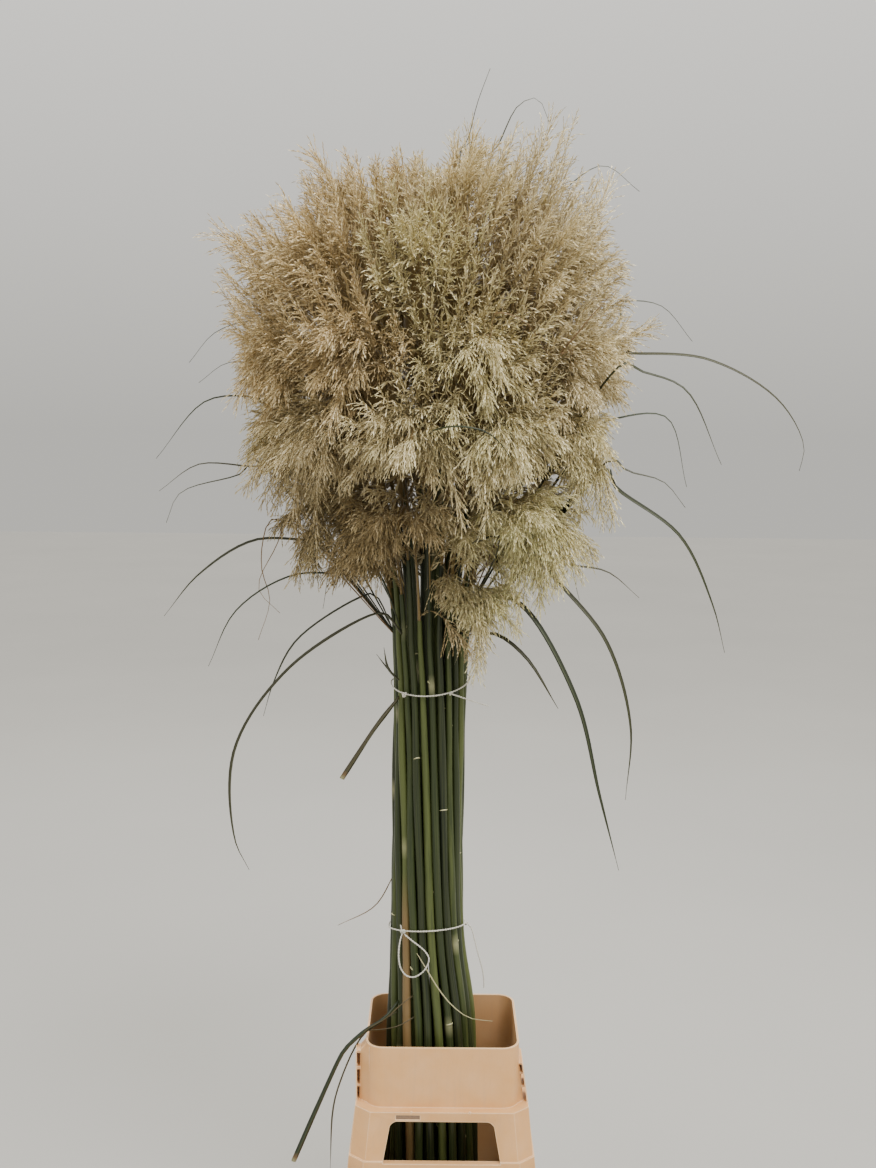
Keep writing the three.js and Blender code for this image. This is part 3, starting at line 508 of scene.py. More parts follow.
class PampasTubSettings(bpy.types.PropertyGroup):
    """Colours of the bucket and the collar"""

    outside: colour("Peach", "Colour of the moulded plastic", (0.685, 0.357, 0.130))
    # Edge: partly plastic rubbed pale, partly a painted highlight along the rounded edges.
    edge: colour("Edge", "Colour where edges are rubbed pale", (0.92, 0.72, 0.47))
    grime_and_shade: colour("Grime", "Colour of dirt in scratches and corners", (0.26, 0.16, 0.095))
    # Grime: the colour of real dirt in scratches and streaks, and of the painted shade on the inside walls.
    recess: colour("Recess", "Colour of the bare label recess", (0.17, 0.12, 0.085))
    edge_round: length("Edge Rounding", "Radius of the moulded edges", 0.0011)


class PampasTwineSettings(bpy.types.PropertyGroup):
    """Size and colour of the twine"""

    diameter: length("Diameter", "Diameter of the twine", 0.0024)
    pitch: length("Pitch", "Length of one turn of its strands", 0.0085)
    fibre: colour("Fibre", "Colour of the twine", (0.66, 0.63, 0.54))


class PampasStageSettings(bpy.types.PropertyGroup):
    """Floor, light and camera"""

    floor: colour("Floor", "Colour of the floor", (0.43, 0.42, 0.39))
    sky: colour("Surround", "Colour of the surround", (0.60, 0.587, 0.545))
    zenith: FloatVectorProperty(
        name="Zenith",
        description="Light from above",
        subtype="COLOR",
        size=3,
        min=0,
        max=4,
        default=(1.6, 1.565, 1.49),
    )
    camera_height: length("Camera Height", "Height of the camera", 1.35)
    camera_distance: length("Camera Distance", "Distance of the camera from the bucket's axis", 1.75)


# ---------------------------------------------------------------- numbers and curves


def spread(index, kind):
    """An evenly spread value from 0 to 1 for the index-th of a row of like things."""
    return ((index + 1) * 0.6180339887 + kind * 0.7548776662) % 1.0


def mix(a, b, t):
    return a + (b - a) * t


def unit(vector):
    return vector / max(np.linalg.norm(vector), 1e-9)


def turned(vector, axis, angle):
    """The vector turned about a unit axis."""
    c, s = math.cos(angle), math.sin(angle)
    return vector * c + np.cross(axis, vector) * s + axis * (vector @ axis) * (1 - c)


def bezier(points, count):
    """Evenly spaced points on a cubic Bezier curve."""
    t = np.linspace(0, 1, 400)[:, None]
    a, b, c, d = (np.array(p, float) for p in points)
    fine = a * (1 - t) ** 3 + 3 * b * t * (1 - t) ** 2 + 3 * c * t * t * (1 - t) + d * t**3
    return evenly(fine, count)


def evenly(points, count):
    """The line through the points again, with count points evenly spaced along it."""
    points = np.array(points, float)
    along = np.concatenate([[0], np.cumsum(np.linalg.norm(np.diff(points, axis=0), axis=1))])
    at = np.linspace(0, along[-1], count)
    return np.stack([np.interp(at, along, points[:, k]) for k in range(3)], axis=1)


def smooth(points, steps=12):
    """A centripetal Catmull-Rom curve through the points."""
    points = np.array(points, float)
    ends = [2 * points[0] - points[1], *points, 2 * points[-1] - points[-2]]
    out = []
    for a, b, c, d in zip(ends, ends[1:], ends[2:], ends[3:]):
        knots = [0.0]
        for p, q in ((a, b), (b, c), (c, d)):
            knots.append(knots[-1] + max(np.linalg.norm(q - p), 1e-6) ** 0.5)
        t = np.linspace(knots[1], knots[2], steps, endpoint=False)[:, None]
        k0, k1, k2, k3 = knots
        a1 = (k1 - t) / (k1 - k0) * a + (t - k0) / (k1 - k0) * b
        a2 = (k2 - t) / (k2 - k1) * b + (t - k1) / (k2 - k1) * c
        a3 = (k3 - t) / (k3 - k2) * c + (t - k2) / (k3 - k2) * d
        b1 = (k2 - t) / (k2 - k0) * a1 + (t - k0) / (k2 - k0) * a2
        b2 = (k3 - t) / (k3 - k1) * a2 + (t - k1) / (k3 - k1) * a3
        out.extend((k2 - t) / (k2 - k1) * b1 + (t - k1) / (k2 - k1) * b2)
    return np.array([*out, points[-1]])


def long_of(points):
    return float(np.linalg.norm(np.diff(points, axis=0), axis=1).sum())


def frames(points):
    """Along, side and up at each point of a line, turned as little as possible."""
    along = np.gradient(points, axis=0)
    along /= np.maximum(np.linalg.norm(along, axis=1, keepdims=True), 1e-9)
    side = np.array((1.0, 0, 0)) if abs(along[0][0]) < 0.8 else np.array((0, 1.0, 0))
    sides = []
    for way in along:
        side = unit(side - way * (side @ way))
        sides.append(side)
    sides = np.array(sides)
    return along, sides, np.cross(along, sides)


class Culm:
    """One culm: its tied part, its free part and its plume, in millimetres."""

    def __init__(self, ring, slot, index):
        self.index = index
        self.kind = ring["levels"][slot % len(ring["levels"])]
        self.warm, self.green, self.pale = RIPENESS[ring["ripeness"][slot]]
        self.radius = mix(*CULM_RADIUS, spread(index, 4))
        level = LEVELS[self.kind]
        even = 2 * math.pi * (slot + 0.5) / ring["count"]
        self.angle = even + TURN["fan"]
        self.tied = [
            self.place(even + TURN[level], ring[level], MIDDLE[level], height)
            for level, height in (("foot", FOOT), ("rim", RIM_HEIGHT), *TIES.items())
        ]
        start = self.place(self.angle, ring["upper"] + FAN_OUT, MIDDLE["upper"], FAN_START)
        swing, out, up = (
            TIP_SCATTER[key] * (2 * spread(index, kind) - 1)
            for kind, key in enumerate(("round", "out", "up"), 1)
        )

        def fan(point, part):
            angle = self.angle + swing * part
            return self.place(angle, point[0] + out * part, MIDDLE["upper"], point[1] + up * part)

        first, second = level["handles"]
        self.free = bezier((start, fan(first, 0), fan(second, 0.6), fan(level["tip"], 1)), 200)
        self.neck = 1 - level["plume"] / long_of(self.free)
        self.plume_length = level["plume"]

    @staticmethod
    def place(angle, radius, x, z):
        across, deep = radius if isinstance(radius, tuple) else (radius, radius)
        return np.array((x + across * math.cos(angle), deep * math.sin(angle), z))

    def at(self, t):
        k = t * (len(self.free) - 1)
        low = int(min(max(k, 0), len(self.free) - 2))
        return mix(self.free[low], self.free[low + 1], k - low)

    def along(self, t):
        return unit(self.at(min(t + 0.01, 1)) - self.at(max(t - 0.01, 0)))


def make_culms():
    made = []
    for ring in RINGS:
        for slot in range(ring["count"]):
            made.append(Culm(ring, slot, len(made)))
    return made


CULMS = make_culms()

# ---------------------------------------------------------------- objects and meshes


def link(name, mesh):
    made = bpy.data.objects.new(name, mesh)
    bpy.context.scene.collection.objects.link(made)
    return made


def finish_piece(piece, slot, *nodes):
    """The piece rides on the body and stands for its nodes. Its slot is not used."""
    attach(piece, BODY)
    if nodes:
        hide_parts(*nodes)
    return piece


def store(mesh, name, values, kind="FLOAT"):
    """Keeps one value a point under that name."""
    key = {"FLOAT": "value", "FLOAT_VECTOR": "vector"}[kind]
    mesh.attributes.new(name, kind, "POINT").data.foreach_set(key, np.array(values, np.float32).ravel())


def guide_mesh(name, lines, **values):
    """A mesh of open or closed lines in metres, from lists of points in millimetres.

    Each line is (points, closed). Each named value is a list with one array for each line.
    """
    points = np.concatenate([np.array(line, float) for line, _ in lines]) * MM
    edges = []
    base = 0
    for line, closed in lines:
        count = len(line)
        edges.extend((base + k, base + k + 1) for k in range(count - 1))
        if closed:
            edges.append((base + count - 1, base))
        base += count
    mesh = bpy.data.meshes.new(name)
    mesh.from_pydata(points.tolist(), edges, [])
    for key, arrays in values.items():
        store(mesh, key, np.concatenate([np.array(a, float) for a in arrays]))
    return mesh


def solid_mesh(name, points, faces):
    """A mesh in metres from points in millimetres."""
    mesh = bpy.data.meshes.new(name)
    mesh.from_pydata((np.array(points, float) * MM).tolist(), [], faces)
    return mesh


def evaluated(piece):
    """The piece's mesh with its modifiers applied, and the modifiers removed."""
    graph = bpy.context.evaluated_depsgraph_get()
    mesh = bpy.data.meshes.new_from_object(piece.evaluated_get(graph))
    piece.modifiers.clear()
    old = piece.data
    piece.data = mesh
    mesh.name = piece.name
    if old.users == 0:
        bpy.data.meshes.remove(old)
    return piece


def grow(name, guide, tree, **inputs):
    """A piece made from its guide lines by a Geometry Nodes tree."""
    piece = link(name, guide)
    modifier = piece.modifiers.new("grow", "NODES")
    modifier.node_group = tree
    sockets = {
        item.name: item.identifier
        for item in tree.interface.items_tree
        if item.item_type == "SOCKET" and item.in_out == "INPUT"
    }
    for key, value in inputs.items():
        modifier[sockets[key.replace("_", " ")]] = value
    return evaluated(piece)


# ---------------------------------------------------------------- node tools


class Graph:
    """Adds nodes to a tree and links them."""

    def __init__(self, tree):
        self.tree = tree

    def add(self, kind, inputs=None, **options):
        node = self.tree.nodes.new(kind)
        for key, value in options.items():
            setattr(node, key, value)
        self.feed(node, inputs or {})
        return node

    def feed(self, node, inputs):
        """Links or sets the inputs of a node."""
        for key, value in inputs.items():
            socket = node.inputs[key] if isinstance(key, int) else self.shown(node.inputs, key)
            if isinstance(value, bpy.types.NodeSocket):
                self.tree.links.new(value, socket)
            else:
                socket.default_value = value

    @staticmethod
    def shown(sockets, name):
        return next(s for s in sockets if s.name == name and s.enabled)

    def out(self, node, name=None):
        if name is None:
            return next(s for s in node.outputs if s.enabled)
        return self.shown(node.outputs, name)

    def math(self, operation, a, b=0.0, clamp=False):
        made = self.add("ShaderNodeMath", {0: a, 1: b}, operation=operation, use_clamp=clamp)
        return made.outputs[0]


def geometry_tree(name, sockets):
    """A Geometry Nodes tree with a geometry in and out and the named inputs."""
    tree = bpy.data.node_groups.new(name, "GeometryNodeTree")
    tree.is_modifier = True
    tree.interface.new_socket("Geometry", in_out="OUTPUT", socket_type="NodeSocketGeometry")
    tree.interface.new_socket("Geometry", in_out="INPUT", socket_type="NodeSocketGeometry")
    for socket, (kind, value) in sockets.items():
        made = tree.interface.new_socket(socket, in_out="INPUT", socket_type=f"NodeSocket{kind}")
        if value is not None:
            made.default_value = value
    graph = Graph(tree)
    entry = graph.add("NodeGroupInput")
    leave = graph.add("NodeGroupOutput")
    return tree, graph, entry, leave


def kept(g, name):
    """The value that the guide keeps under a name."""
    return g.out(g.add("GeometryNodeInputNamedAttribute", {"Name": name}, data_type="FLOAT"))


def keep(g, geometry, name, value, kind="FLOAT"):
    """The geometry with a value kept on its points."""
    inputs = {"Geometry": geometry, "Name": name, "Value": value}
    made = g.add("GeometryNodeStoreNamedAttribute", inputs, data_type=kind, domain="POINT")
    return g.out(made)


def sweep(g, curve, name, profile):
    """Tubes along a curve, as thick as the value kept under a name."""
    inputs = {"Curve": curve, "Profile Curve": profile, "Scale": kept(g, name), "Fill Caps": True}
    return g.out(g.add("GeometryNodeCurveToMesh", inputs))


def finish_tree(g, geometry, finish, leave):
    """Ends a tree: real instances, in their material."""
    real = g.add("GeometryNodeRealizeInstances", {"Geometry": geometry})
    done = g.add("GeometryNodeSetMaterial", {"Geometry": g.out(real), "Material": finish})
    g.feed(leave, {"Geometry": g.out(done)})


def tube_tree():
    """Round tubes along guide lines, as thick as the guide's girth says."""
    tree, g, entry, leave = geometry_tree(
        "Tubes Along Guides", {"Sides": ("Int", 8), "Finish": ("Material", None)}
    )
    into = entry.outputs
    ring = g.add("GeometryNodeCurvePrimitiveCircle", {"Resolution": into["Sides"], "Radius": 1.0})
    place = g.out(g.add("GeometryNodeInputPosition"))
    around = keep(g, g.out(ring), "skin", place, "FLOAT_VECTOR")
    curve = g.add("GeometryNodeMeshToCurve", {"Mesh": into["Geometry"]})
    tubes = sweep(g, g.out(curve), "girth", around)
    even = g.add("GeometryNodeSetShadeSmooth", {"Geometry": tubes})
    finish_tree(g, g.out(even), into["Finish"], leave)
    return tree


def strand_tree():
    """Fine strands of florets all along thin branches, and the core that they stand out of.

    A strand is a sliver with three corners: its root, its side half way out, and its tip.
    """
    tree, g, entry, leave = geometry_tree(
        "Strands On Branches",
        {
            "Spacing": ("Float", 0.001),
            "Strand Length": ("Float", 0.02),
            "Strand Width": ("Float", 0.001),
            "Curl": ("Float", 0.3),
            "Spread": ("Float", 0.8),
            "Seed": ("Int", 0),
            "Finish": ("Material", None),
        },
    )
    into = entry.outputs
    curve = g.out(g.add("GeometryNodeMeshToCurve", {"Mesh": into["Geometry"]}))

    def random(low, high, offset):
        seed = g.math("ADD", into["Seed"], offset)
        ends = {"Min": low, "Max": high, "Seed": seed}
        return g.out(g.add("FunctionNodeRandomValue", ends, data_type="FLOAT"))

    def only(name):
        chosen = {"Geometry": curve, "Selection": g.math("GREATER_THAN", kept(g, name), 1e-5)}
        return g.add("GeometryNodeSeparateGeometry", chosen, domain="CURVE").outputs["Selection"]

    def swept(name, sides):
        ring = g.add("GeometryNodeCurvePrimitiveCircle", {"Resolution": sides, "Radius": 1.0})
        return sweep(g, only(name), name, g.out(ring))

    apart = g.math("MULTIPLY", into["Spacing"], kept(g, "sparse"))
    places = g.add("GeometryNodeCurveToPoints", {"Curve": only("lush"), "Length": apart}, mode="LENGTH")
    corners = g.add("GeometryNodeMeshCircle", {"Vertices": 3, "Radius": 1.0}, fill_type="NGON")
    flat = g.add("ShaderNodeSeparateXYZ", {0: g.out(g.add("GeometryNodeInputPosition"))})
    reach = g.math("ADD", g.math("DIVIDE", g.out(flat, "Y"), math.sqrt(3)), 0.5)
    aside = g.math("DIVIDE", g.math("ADD", g.out(flat, "X"), 0.5), 1.5)
    bent = g.math("MULTIPLY", g.math("MULTIPLY", reach, reach), into["Curl"])
    stood = g.add("ShaderNodeCombineXYZ", {"X": aside, "Y": bent, "Z": reach})
    shaped = g.add("GeometryNodeSetPosition", {"Geometry": g.out(corners), "Position": g.out(stood)})
    height = g.add("ShaderNodeSeparateXYZ", {0: g.out(g.add("GeometryNodeInputPosition"))})
    strand = keep(g, g.out(shaped), "reach", g.out(height, "Z"))
    lean = g.math("MULTIPLY", into["Spread"], random(*STRAND["lean"], 1))
    lean_and_roll = g.add("ShaderNodeCombineXYZ", {"X": lean, "Y": 0.0, "Z": random(0.0, 2 * math.pi, 2)})
    rotate_by = g.add("FunctionNodeEulerToRotation", {0: g.out(lean_and_roll)})
    turned_out = g.add(
        "FunctionNodeRotateRotation",
        {"Rotation": places.outputs["Rotation"], "Rotate By": g.out(rotate_by)},
        rotation_space="LOCAL",
    )
    hanging = g.add(
        "FunctionNodeAlignRotationToVector",
        {"Rotation": g.out(turned_out), "Factor": kept(g, "fall"), "Vector": (0.0, 0.0, -1.0)},
        axis="Z",
    )
    flecked = keep(g, places.outputs["Points"], "fleck", random(0.0, 1.0, 5))
    bright = g.math("GREATER_THAN", kept(g, "fleck"), BRIGHT)
    stout = g.math("ADD", STRAND["width"], g.math("MULTIPLY", bright, STRAND["wider"]))
    varied = g.math("MULTIPLY", into["Strand Length"], random(*STRAND["length"], 3))
    tall = g.math("MULTIPLY", varied, kept(g, "lush"))
    wide = g.math("MULTIPLY", g.math("MULTIPLY", into["Strand Width"], stout), kept(g, "coarse"))
    size = g.add("ShaderNodeCombineXYZ", {"X": wide, "Y": tall, "Z": tall})
    set_out = g.add(
        "GeometryNodeInstanceOnPoints",
        {
            "Points": flecked,
            "Instance": strand,
            "Rotation": g.out(hanging),
            "Scale": g.out(size),
        },
    )
    both = g.add("GeometryNodeJoinGeometry")
    tree.links.new(swept("core", 6), both.inputs[0])
    tree.links.new(swept("girth", 3), both.inputs[0])
    tree.links.new(g.out(set_out), both.inputs[0])
    finish_tree(g, g.out(both), into["Finish"], leave)
    return tree


# ---------------------------------------------------------------- shader groups


def shader_group(name, inputs, outputs):
    tree = bpy.data.node_groups.new(name, "ShaderNodeTree")
    for socket, (kind, value) in inputs.items():
        made = tree.interface.new_socket(socket, in_out="INPUT", socket_type=f"NodeSocket{kind}")
        if value is not None:
            made.default_value = value
    for socket, kind in outputs.items():
        tree.interface.new_socket(socket, in_out="OUTPUT", socket_type=f"NodeSocket{kind}")
    graph = Graph(tree)
    return tree, graph, graph.add("NodeGroupInput"), graph.add("NodeGroupOutput")


def blend_colours(g, amount, a, b, mode="MIX"):
    made = g.add("ShaderNodeMix", {"Factor": amount, "A": a, "B": b}, data_type="RGBA", blend_type=mode)
    return g.out(made)


def ramp(g, value, low, high, to_low=0.0, to_high=1.0):
    made = g.add(
        "ShaderNodeMapRange",
        {"Value": value, "From Min": low, "From Max": high, "To Min": to_low, "To Max": to_high},
    )
    return g.out(made)


def noise(g, vector, scale, detail=3.0, rough=0.55):
    inputs = {"Vector": vector, "Scale": scale, "Detail": detail, "Roughness": rough}
    return g.add("ShaderNodeTexNoise", inputs).outputs[0]


def stretched(g, vector, factors):
    """The vector times a factor for each axis."""
    return g.add("ShaderNodeVectorMath", {0: vector, 1: factors}, operation="MULTIPLY").outputs[0]


def relief(g, shader, height, strength, distance=0.0003):
    """Fine relief on a material, from a height."""
    bump = g.add("ShaderNodeBump", {"Height": height, "Strength": strength, "Distance": distance})
    g.feed(shader, {"Normal": bump.outputs[0]})


def fibre_group():
    """Fine lines that run along a stem, leaf or twine, from its skin and its length."""
    tree, g, entry, leave = shader_group(
        "Long Fibres",
        {
            "Skin": ("Vector", None),
            "Along": ("Float", 0.0),
            "Lines": ("Float", 6.0),
            "Length": ("Float", 8.0),
        },
        {"Lines": "Float", "Blotches": "Float"},
    )
    into = entry.outputs
    skin = g.add("ShaderNodeVectorMath", {0: into["Skin"], "Scale": into["Lines"]}, operation="SCALE")
    parts = g.add("ShaderNodeSeparateXYZ", {0: skin.outputs[0]})
    run = g.math("MULTIPLY", into["Along"], into["Length"])
    place = g.add("ShaderNodeCombineXYZ", {"X": parts.outputs[0], "Y": parts.outputs[1], "Z": run})
    slow = stretched(g, place.outputs[0], (0.25, 0.25, 2.0))
    fine = noise(g, place.outputs[0], 1.0, 2.0)
    g.feed(leave, {"Lines": fine, "Blotches": noise(g, slow, 1.0, 4.0)})
    return tree


def wear_and_light_group():
    """Where moulded plastic is rubbed pale with a painted highlight on its edges, scuffed or dirty, and has
    painted shade inside.
    """
    tree, g, entry, leave = shader_group(
        "Moulded Wear And Painted Light",
        {"Position": ("Vector", None), "Edge Width": ("Float", 0.002)},
        {"Edges": "Float", "Scuffs": "Float", "Clouds": "Float", "Streaks": "Float", "Inside": "Float"},
    )
    position = entry.outputs["Position"]
    corner = g.add("ShaderNodeBevel", {"Radius": entry.outputs["Edge Width"]}, samples=4)
    flat = g.add("ShaderNodeNewGeometry").outputs["Normal"]

    def along_flat(vector):
        made = g.add("ShaderNodeVectorMath", {0: vector, 1: flat}, operation="DOT_PRODUCT")
        return made.outputs["Value"]

    outwards = stretched(g, position, (1.0, 1.0, 0.0))
    scratches = stretched(g, position, (900.0, 900.0, 70.0))
    streaks = stretched(g, position, (160.0, 160.0, 7.0))
    marks = {
        # Edges: partly where plastic is rubbed, partly a painted highlight.
        "Edges": ramp(g, along_flat(corner.outputs[0]), 0.995, 0.93),
        # Painted shade on the walls that face inwards.
        "Inside": ramp(g, along_flat(outwards), -0.02, -0.06),
        "Scuffs": ramp(g, noise(g, scratches, 1.0, 5.0, 0.7), 0.60, 0.78),
        "Clouds": noise(g, position, 28.0, 4.0),
        "Streaks": noise(g, streaks, 1.0, 3.0),
    }
    g.feed(leave, marks)
    return tree


# ---------------------------------------------------------------- materials


def material(name):
    made = bpy.data.materials.new(name)
    made.use_nodes = True
    graph = Graph(made.node_tree)
    shader = made.node_tree.nodes["Principled BSDF"]
    return made, graph, shader


def attribute(g, name, output="Fac"):
    return g.add("ShaderNodeAttribute", attribute_name=name, attribute_type="GEOMETRY").outputs[output]


def group(g, tree, inputs):
    return g.add("ShaderNodeGroup", inputs, node_tree=tree)


def rgba(value, gain=1.0):
    return (*(c * gain for c in value), 1.0)


def plume_material(look):
    """Dry florets: olive at the root of each strand and cream at its tip, with painted shade deep inside the
    head, partly their own darker colour, and painted shade under the head's left side.
    """
    made, g, shader = material("Plume Florets")
    reach = attribute(g, "reach")
    fleck = attribute(g, "fleck")
    tone = attribute(g, "tone")
    ripe = blend_colours(g, attribute(g, "warm"), rgba(look.tip), rgba(look.warm))
    tip = blend_colours(g, attribute(g, "green"), ripe, rgba(look.fresh))
    bright = g.math("GREATER_THAN", fleck, BRIGHT)
    cream = attribute(g, "cream")
    creamy = g.math("ADD", g.math("MULTIPLY", cream, 0.6), g.math("MULTIPLY", bright, 0.25), True)
    pale = blend_colours(g, creamy, tip, rgba(look.cream))
    body = blend_colours(g, ramp(g, reach, 0.0, 0.62), rgba(look.root), pale)
    # Towards the inner colour where tone is low: painted shade deep in the head and under its left side, the
    # random shade of each tassel, and the plume's paleness.
    toned_and_shaded = blend_colours(g, ramp(g, tone, 0.0, 0.8), rgba(look.inner_tint_and_shade), body)
    level = g.math("ADD", ramp(g, fleck, 0.0, BRIGHT, 0.62, 0.86), g.math("MULTIPLY", bright, 0.1))
    shade = g.math("ADD", level, g.math("MULTIPLY", cream, 0.32))
    grey = g.add("ShaderNodeCombineColor", {0: shade, 1: shade, 2: shade})
    final = blend_colours(g, 1.0, toned_and_shaded, grey.outputs[0], "MULTIPLY")
    g.feed(shader, {"Base Color": final, "Roughness": ramp(g, fleck, 0.0, 1.0, 0.55, 0.8)})
    g.feed(shader, {"Specular IOR Level": 0.4, "Sheen Weight": 0.2, "Sheen Roughness": 0.4})
    return made


def culm_material(look, fibres):
    """Smooth green culms with fine lines, pale scars at the nodes and one dry culm."""
    made, g, shader = material("Green Culm")
    tone = attribute(g, "tone")
    along = attribute(g, "along")
    dry = attribute(g, "dry")
    scar = attribute(g, "scar")
    skin = attribute(g, "skin", "Vector")
    lines = group(g, fibres, {"Skin": skin, "Along": along, "Lines": 5.0, "Length": 6.0})
    mottled = g.math("ADD", tone, ramp(g, lines.outputs["Blotches"], 0.3, 0.7, -0.16, 0.16))
    greens = g.add("ShaderNodeValToRGB", {"Fac": mottled})
    greens.color_ramp.elements[0].position = 0.1
    greens.color_ramp.elements[0].color = rgba(look.deep)
    greens.color_ramp.elements[1].position = 0.95
    greens.color_ramp.elements[1].color = rgba(look.light)
    greens.color_ramp.elements.new(0.58).color = rgba(look.middle)
    straw = blend_colours(g, dry, greens.outputs[0], rgba(look.dry))
    streaks = ramp(g, lines.outputs["Lines"], 0.35, 0.7, 0.0, 0.35)
    lined = blend_colours(g, streaks, straw, rgba(look.light, 1.2))
    marked = blend_colours(g, scar, lined, rgba(look.scar))
    rough = ramp(g, lines.outputs["Blotches"], 0.3, 0.7, 0.34, 0.5)
    g.feed(shader, {"Base Color": marked, "Roughness": rough})
    g.feed(shader, {"Specular IOR Level": 0.32, "Coat Weight": 0.06, "Coat Roughness": 0.3})
    relief(g, shader, lines.outputs["Lines"], 0.25)
    return made


def leaf_material(look, fibres):
    """Long leaves: dark green with a paler midrib, brown where dry is 1 and bleached where it is 2."""
    made, g, shader = material("Arching Leaf")
    along = attribute(g, "along")
    across = attribute(g, "across")
    dry = attribute(g, "dry")
    skin = g.add("ShaderNodeCombineXYZ", {"X": across, "Y": 0.0, "Z": 0.0})
    lines = group(g, fibres, {"Skin": skin.outputs[0], "Along": along, "Lines": 7.0, "Length": 5.0})
    rib = ramp(g, g.math("ABSOLUTE", across), 0.0, 0.22, 1.0, 0.0)
    base = blend_colours(g, ramp(g, lines.outputs["Lines"], 0.35, 0.7), rgba(look.leaf), rgba(look.middle))
    ribbed = blend_colours(g, g.math("MULTIPLY", rib, 0.55), base, rgba(look.light))
    straw = blend_colours(g, dry, ribbed, rgba(look.dry))
    bleached = blend_colours(g, ramp(g, dry, 1.0, 2.0), straw, rgba(look.scar))
    rough = ramp(g, lines.outputs["Blotches"], 0.3, 0.7, 0.4, 0.6)
    g.feed(shader, {"Base Color": bleached, "Roughness": rough})
    relief(g, shader, lines.outputs["Lines"], 0.4)
    return made


def plastic_material(name, look, wear_and_light, edge_width):
    """Peach plastic, rubbed pale on its edges with a painted highlight there, scuffed and a little dirty,
    with painted shade on its inside walls.
    """
    made, g, shader = material(name)
    place = g.add("ShaderNodeTexCoord").outputs["Object"]
    marks = group(g, wear_and_light, {"Position": place, "Edge Width": edge_width})
    out = marks.outputs
    base = blend_colours(g, ramp(g, out["Clouds"], 0.3, 0.75, 0.0, 0.16), rgba(look.outside), rgba(look.edge))
    streaked = blend_colours(g, ramp(g, out["Streaks"], 0.52, 0.72, 0.0, 0.22), base, rgba(look.grime_and_shade, 2.0))
    scuffed = blend_colours(g, g.math("MULTIPLY", out["Scuffs"], 0.4), streaked, rgba(look.grime_and_shade))
    # Painted shade on the inside walls, in the grime colour.
    shaded_inside = blend_colours(g, g.math("MULTIPLY", out["Inside"], 0.44), scuffed, rgba(look.grime_and_shade))
    # Paler edges: partly real rubbing, partly a painted highlight on the rounded edges.
    worn_and_lit_edges = blend_colours(g, g.math("MULTIPLY", out["Edges"], 0.85), shaded_inside, rgba(look.edge))
    parts = g.add("ShaderNodeSeparateXYZ", {0: place})
    beside = g.math("ABSOLUTE", g.math("SUBTRACT", parts.outputs[0], LABEL["x"] * MM))
    above = g.math("ABSOLUTE", g.math("SUBTRACT", parts.outputs[2], LABEL["z"] * MM))
    inside = g.math(
        "MULTIPLY",
        g.math("LESS_THAN", beside, (LABEL["width"] / 2 - LABEL["margin"]) * MM),
        g.math("LESS_THAN", above, (LABEL["height"] / 2 - LABEL["margin"]) * MM),
    )
    front = g.math("MULTIPLY", inside, g.math("LESS_THAN", parts.outputs[1], LABEL["front"] * MM))
    specks = ramp(g, noise(g, place, 700.0), 0.35, 0.65, 0.75, 1.0)
    worn = blend_colours(g, specks, rgba(look.outside), rgba(look.recess))
    final = blend_colours(g, front, worn_and_lit_edges, worn)
    clouded = ramp(g, out["Clouds"], 0.3, 0.7, 0.38, 0.5)
    rough = g.math("ADD", clouded, g.math("MULTIPLY", out["Scuffs"], 0.2))
    g.feed(shader, {"Base Color": final, "Roughness": rough})
    height = g.math("ADD", noise(g, place, 1500.0, 2.0), g.math("MULTIPLY", out["Scuffs"], -1.5))
    relief(g, shader, height, 0.12)
    return made


def twine_material(look, fibres):
    """Pale twisted twine with fine fibre lines and darker valleys."""
    made, g, shader = material("Pale Twine")
    skin = attribute(g, "skin", "Vector")
    along = attribute(g, "along")
    lines = group(g, fibres, {"Skin": skin, "Along": along, "Lines": 3.0, "Length": 900.0})
    valleys = ramp(g, lines.outputs["Lines"], 0.3, 0.7)
    tinted = blend_colours(g, valleys, rgba(look.fibre, 0.72), rgba(look.fibre, 1.12))
    rough = ramp(g, lines.outputs["Blotches"], 0.3, 0.7, 0.75, 0.95)
    g.feed(shader, {"Base Color": tinted, "Roughness": rough, "Sheen Weight": 0.2})
    relief(g, shader, lines.outputs["Lines"], 0.5, 0.0002)
    return made


def water_material():
    """Clear, slightly green water with a still, dusty top."""
    made, g, shader = material("Vase Water")
    place = g.add("ShaderNodeTexCoord").outputs["Object"]
    cloud = ramp(g, noise(g, place, 60.0), 0.35, 0.7)
    tint = blend_colours(g, cloud, (0.16, 0.19, 0.13, 1), (0.24, 0.26, 0.17, 1))
    g.feed(shader, {"Base Color": tint, "Roughness": ramp(g, cloud, 0.0, 1.0, 0.04, 0.12)})
    g.feed(shader, {"Transmission Weight": 0.6, "IOR": 1.33})
    relief(g, shader, noise(g, place, 35.0), 0.1, 0.001)
    return made


def stage_material(look):
    """A plain pale floor."""
    made, g, shader = material("Pale Floor")
    place = g.add("ShaderNodeTexCoord").outputs["Object"]
    cloud = ramp(g, noise(g, place, 0.8), 0.3, 0.7)
    tint = blend_colours(g, cloud, rgba(look.floor, 0.97), rgba(look.floor, 1.03))
    g.feed(shader, {"Base Color": tint, "Roughness": 0.85})
    return made


# ---------------------------------------------------------------- twine


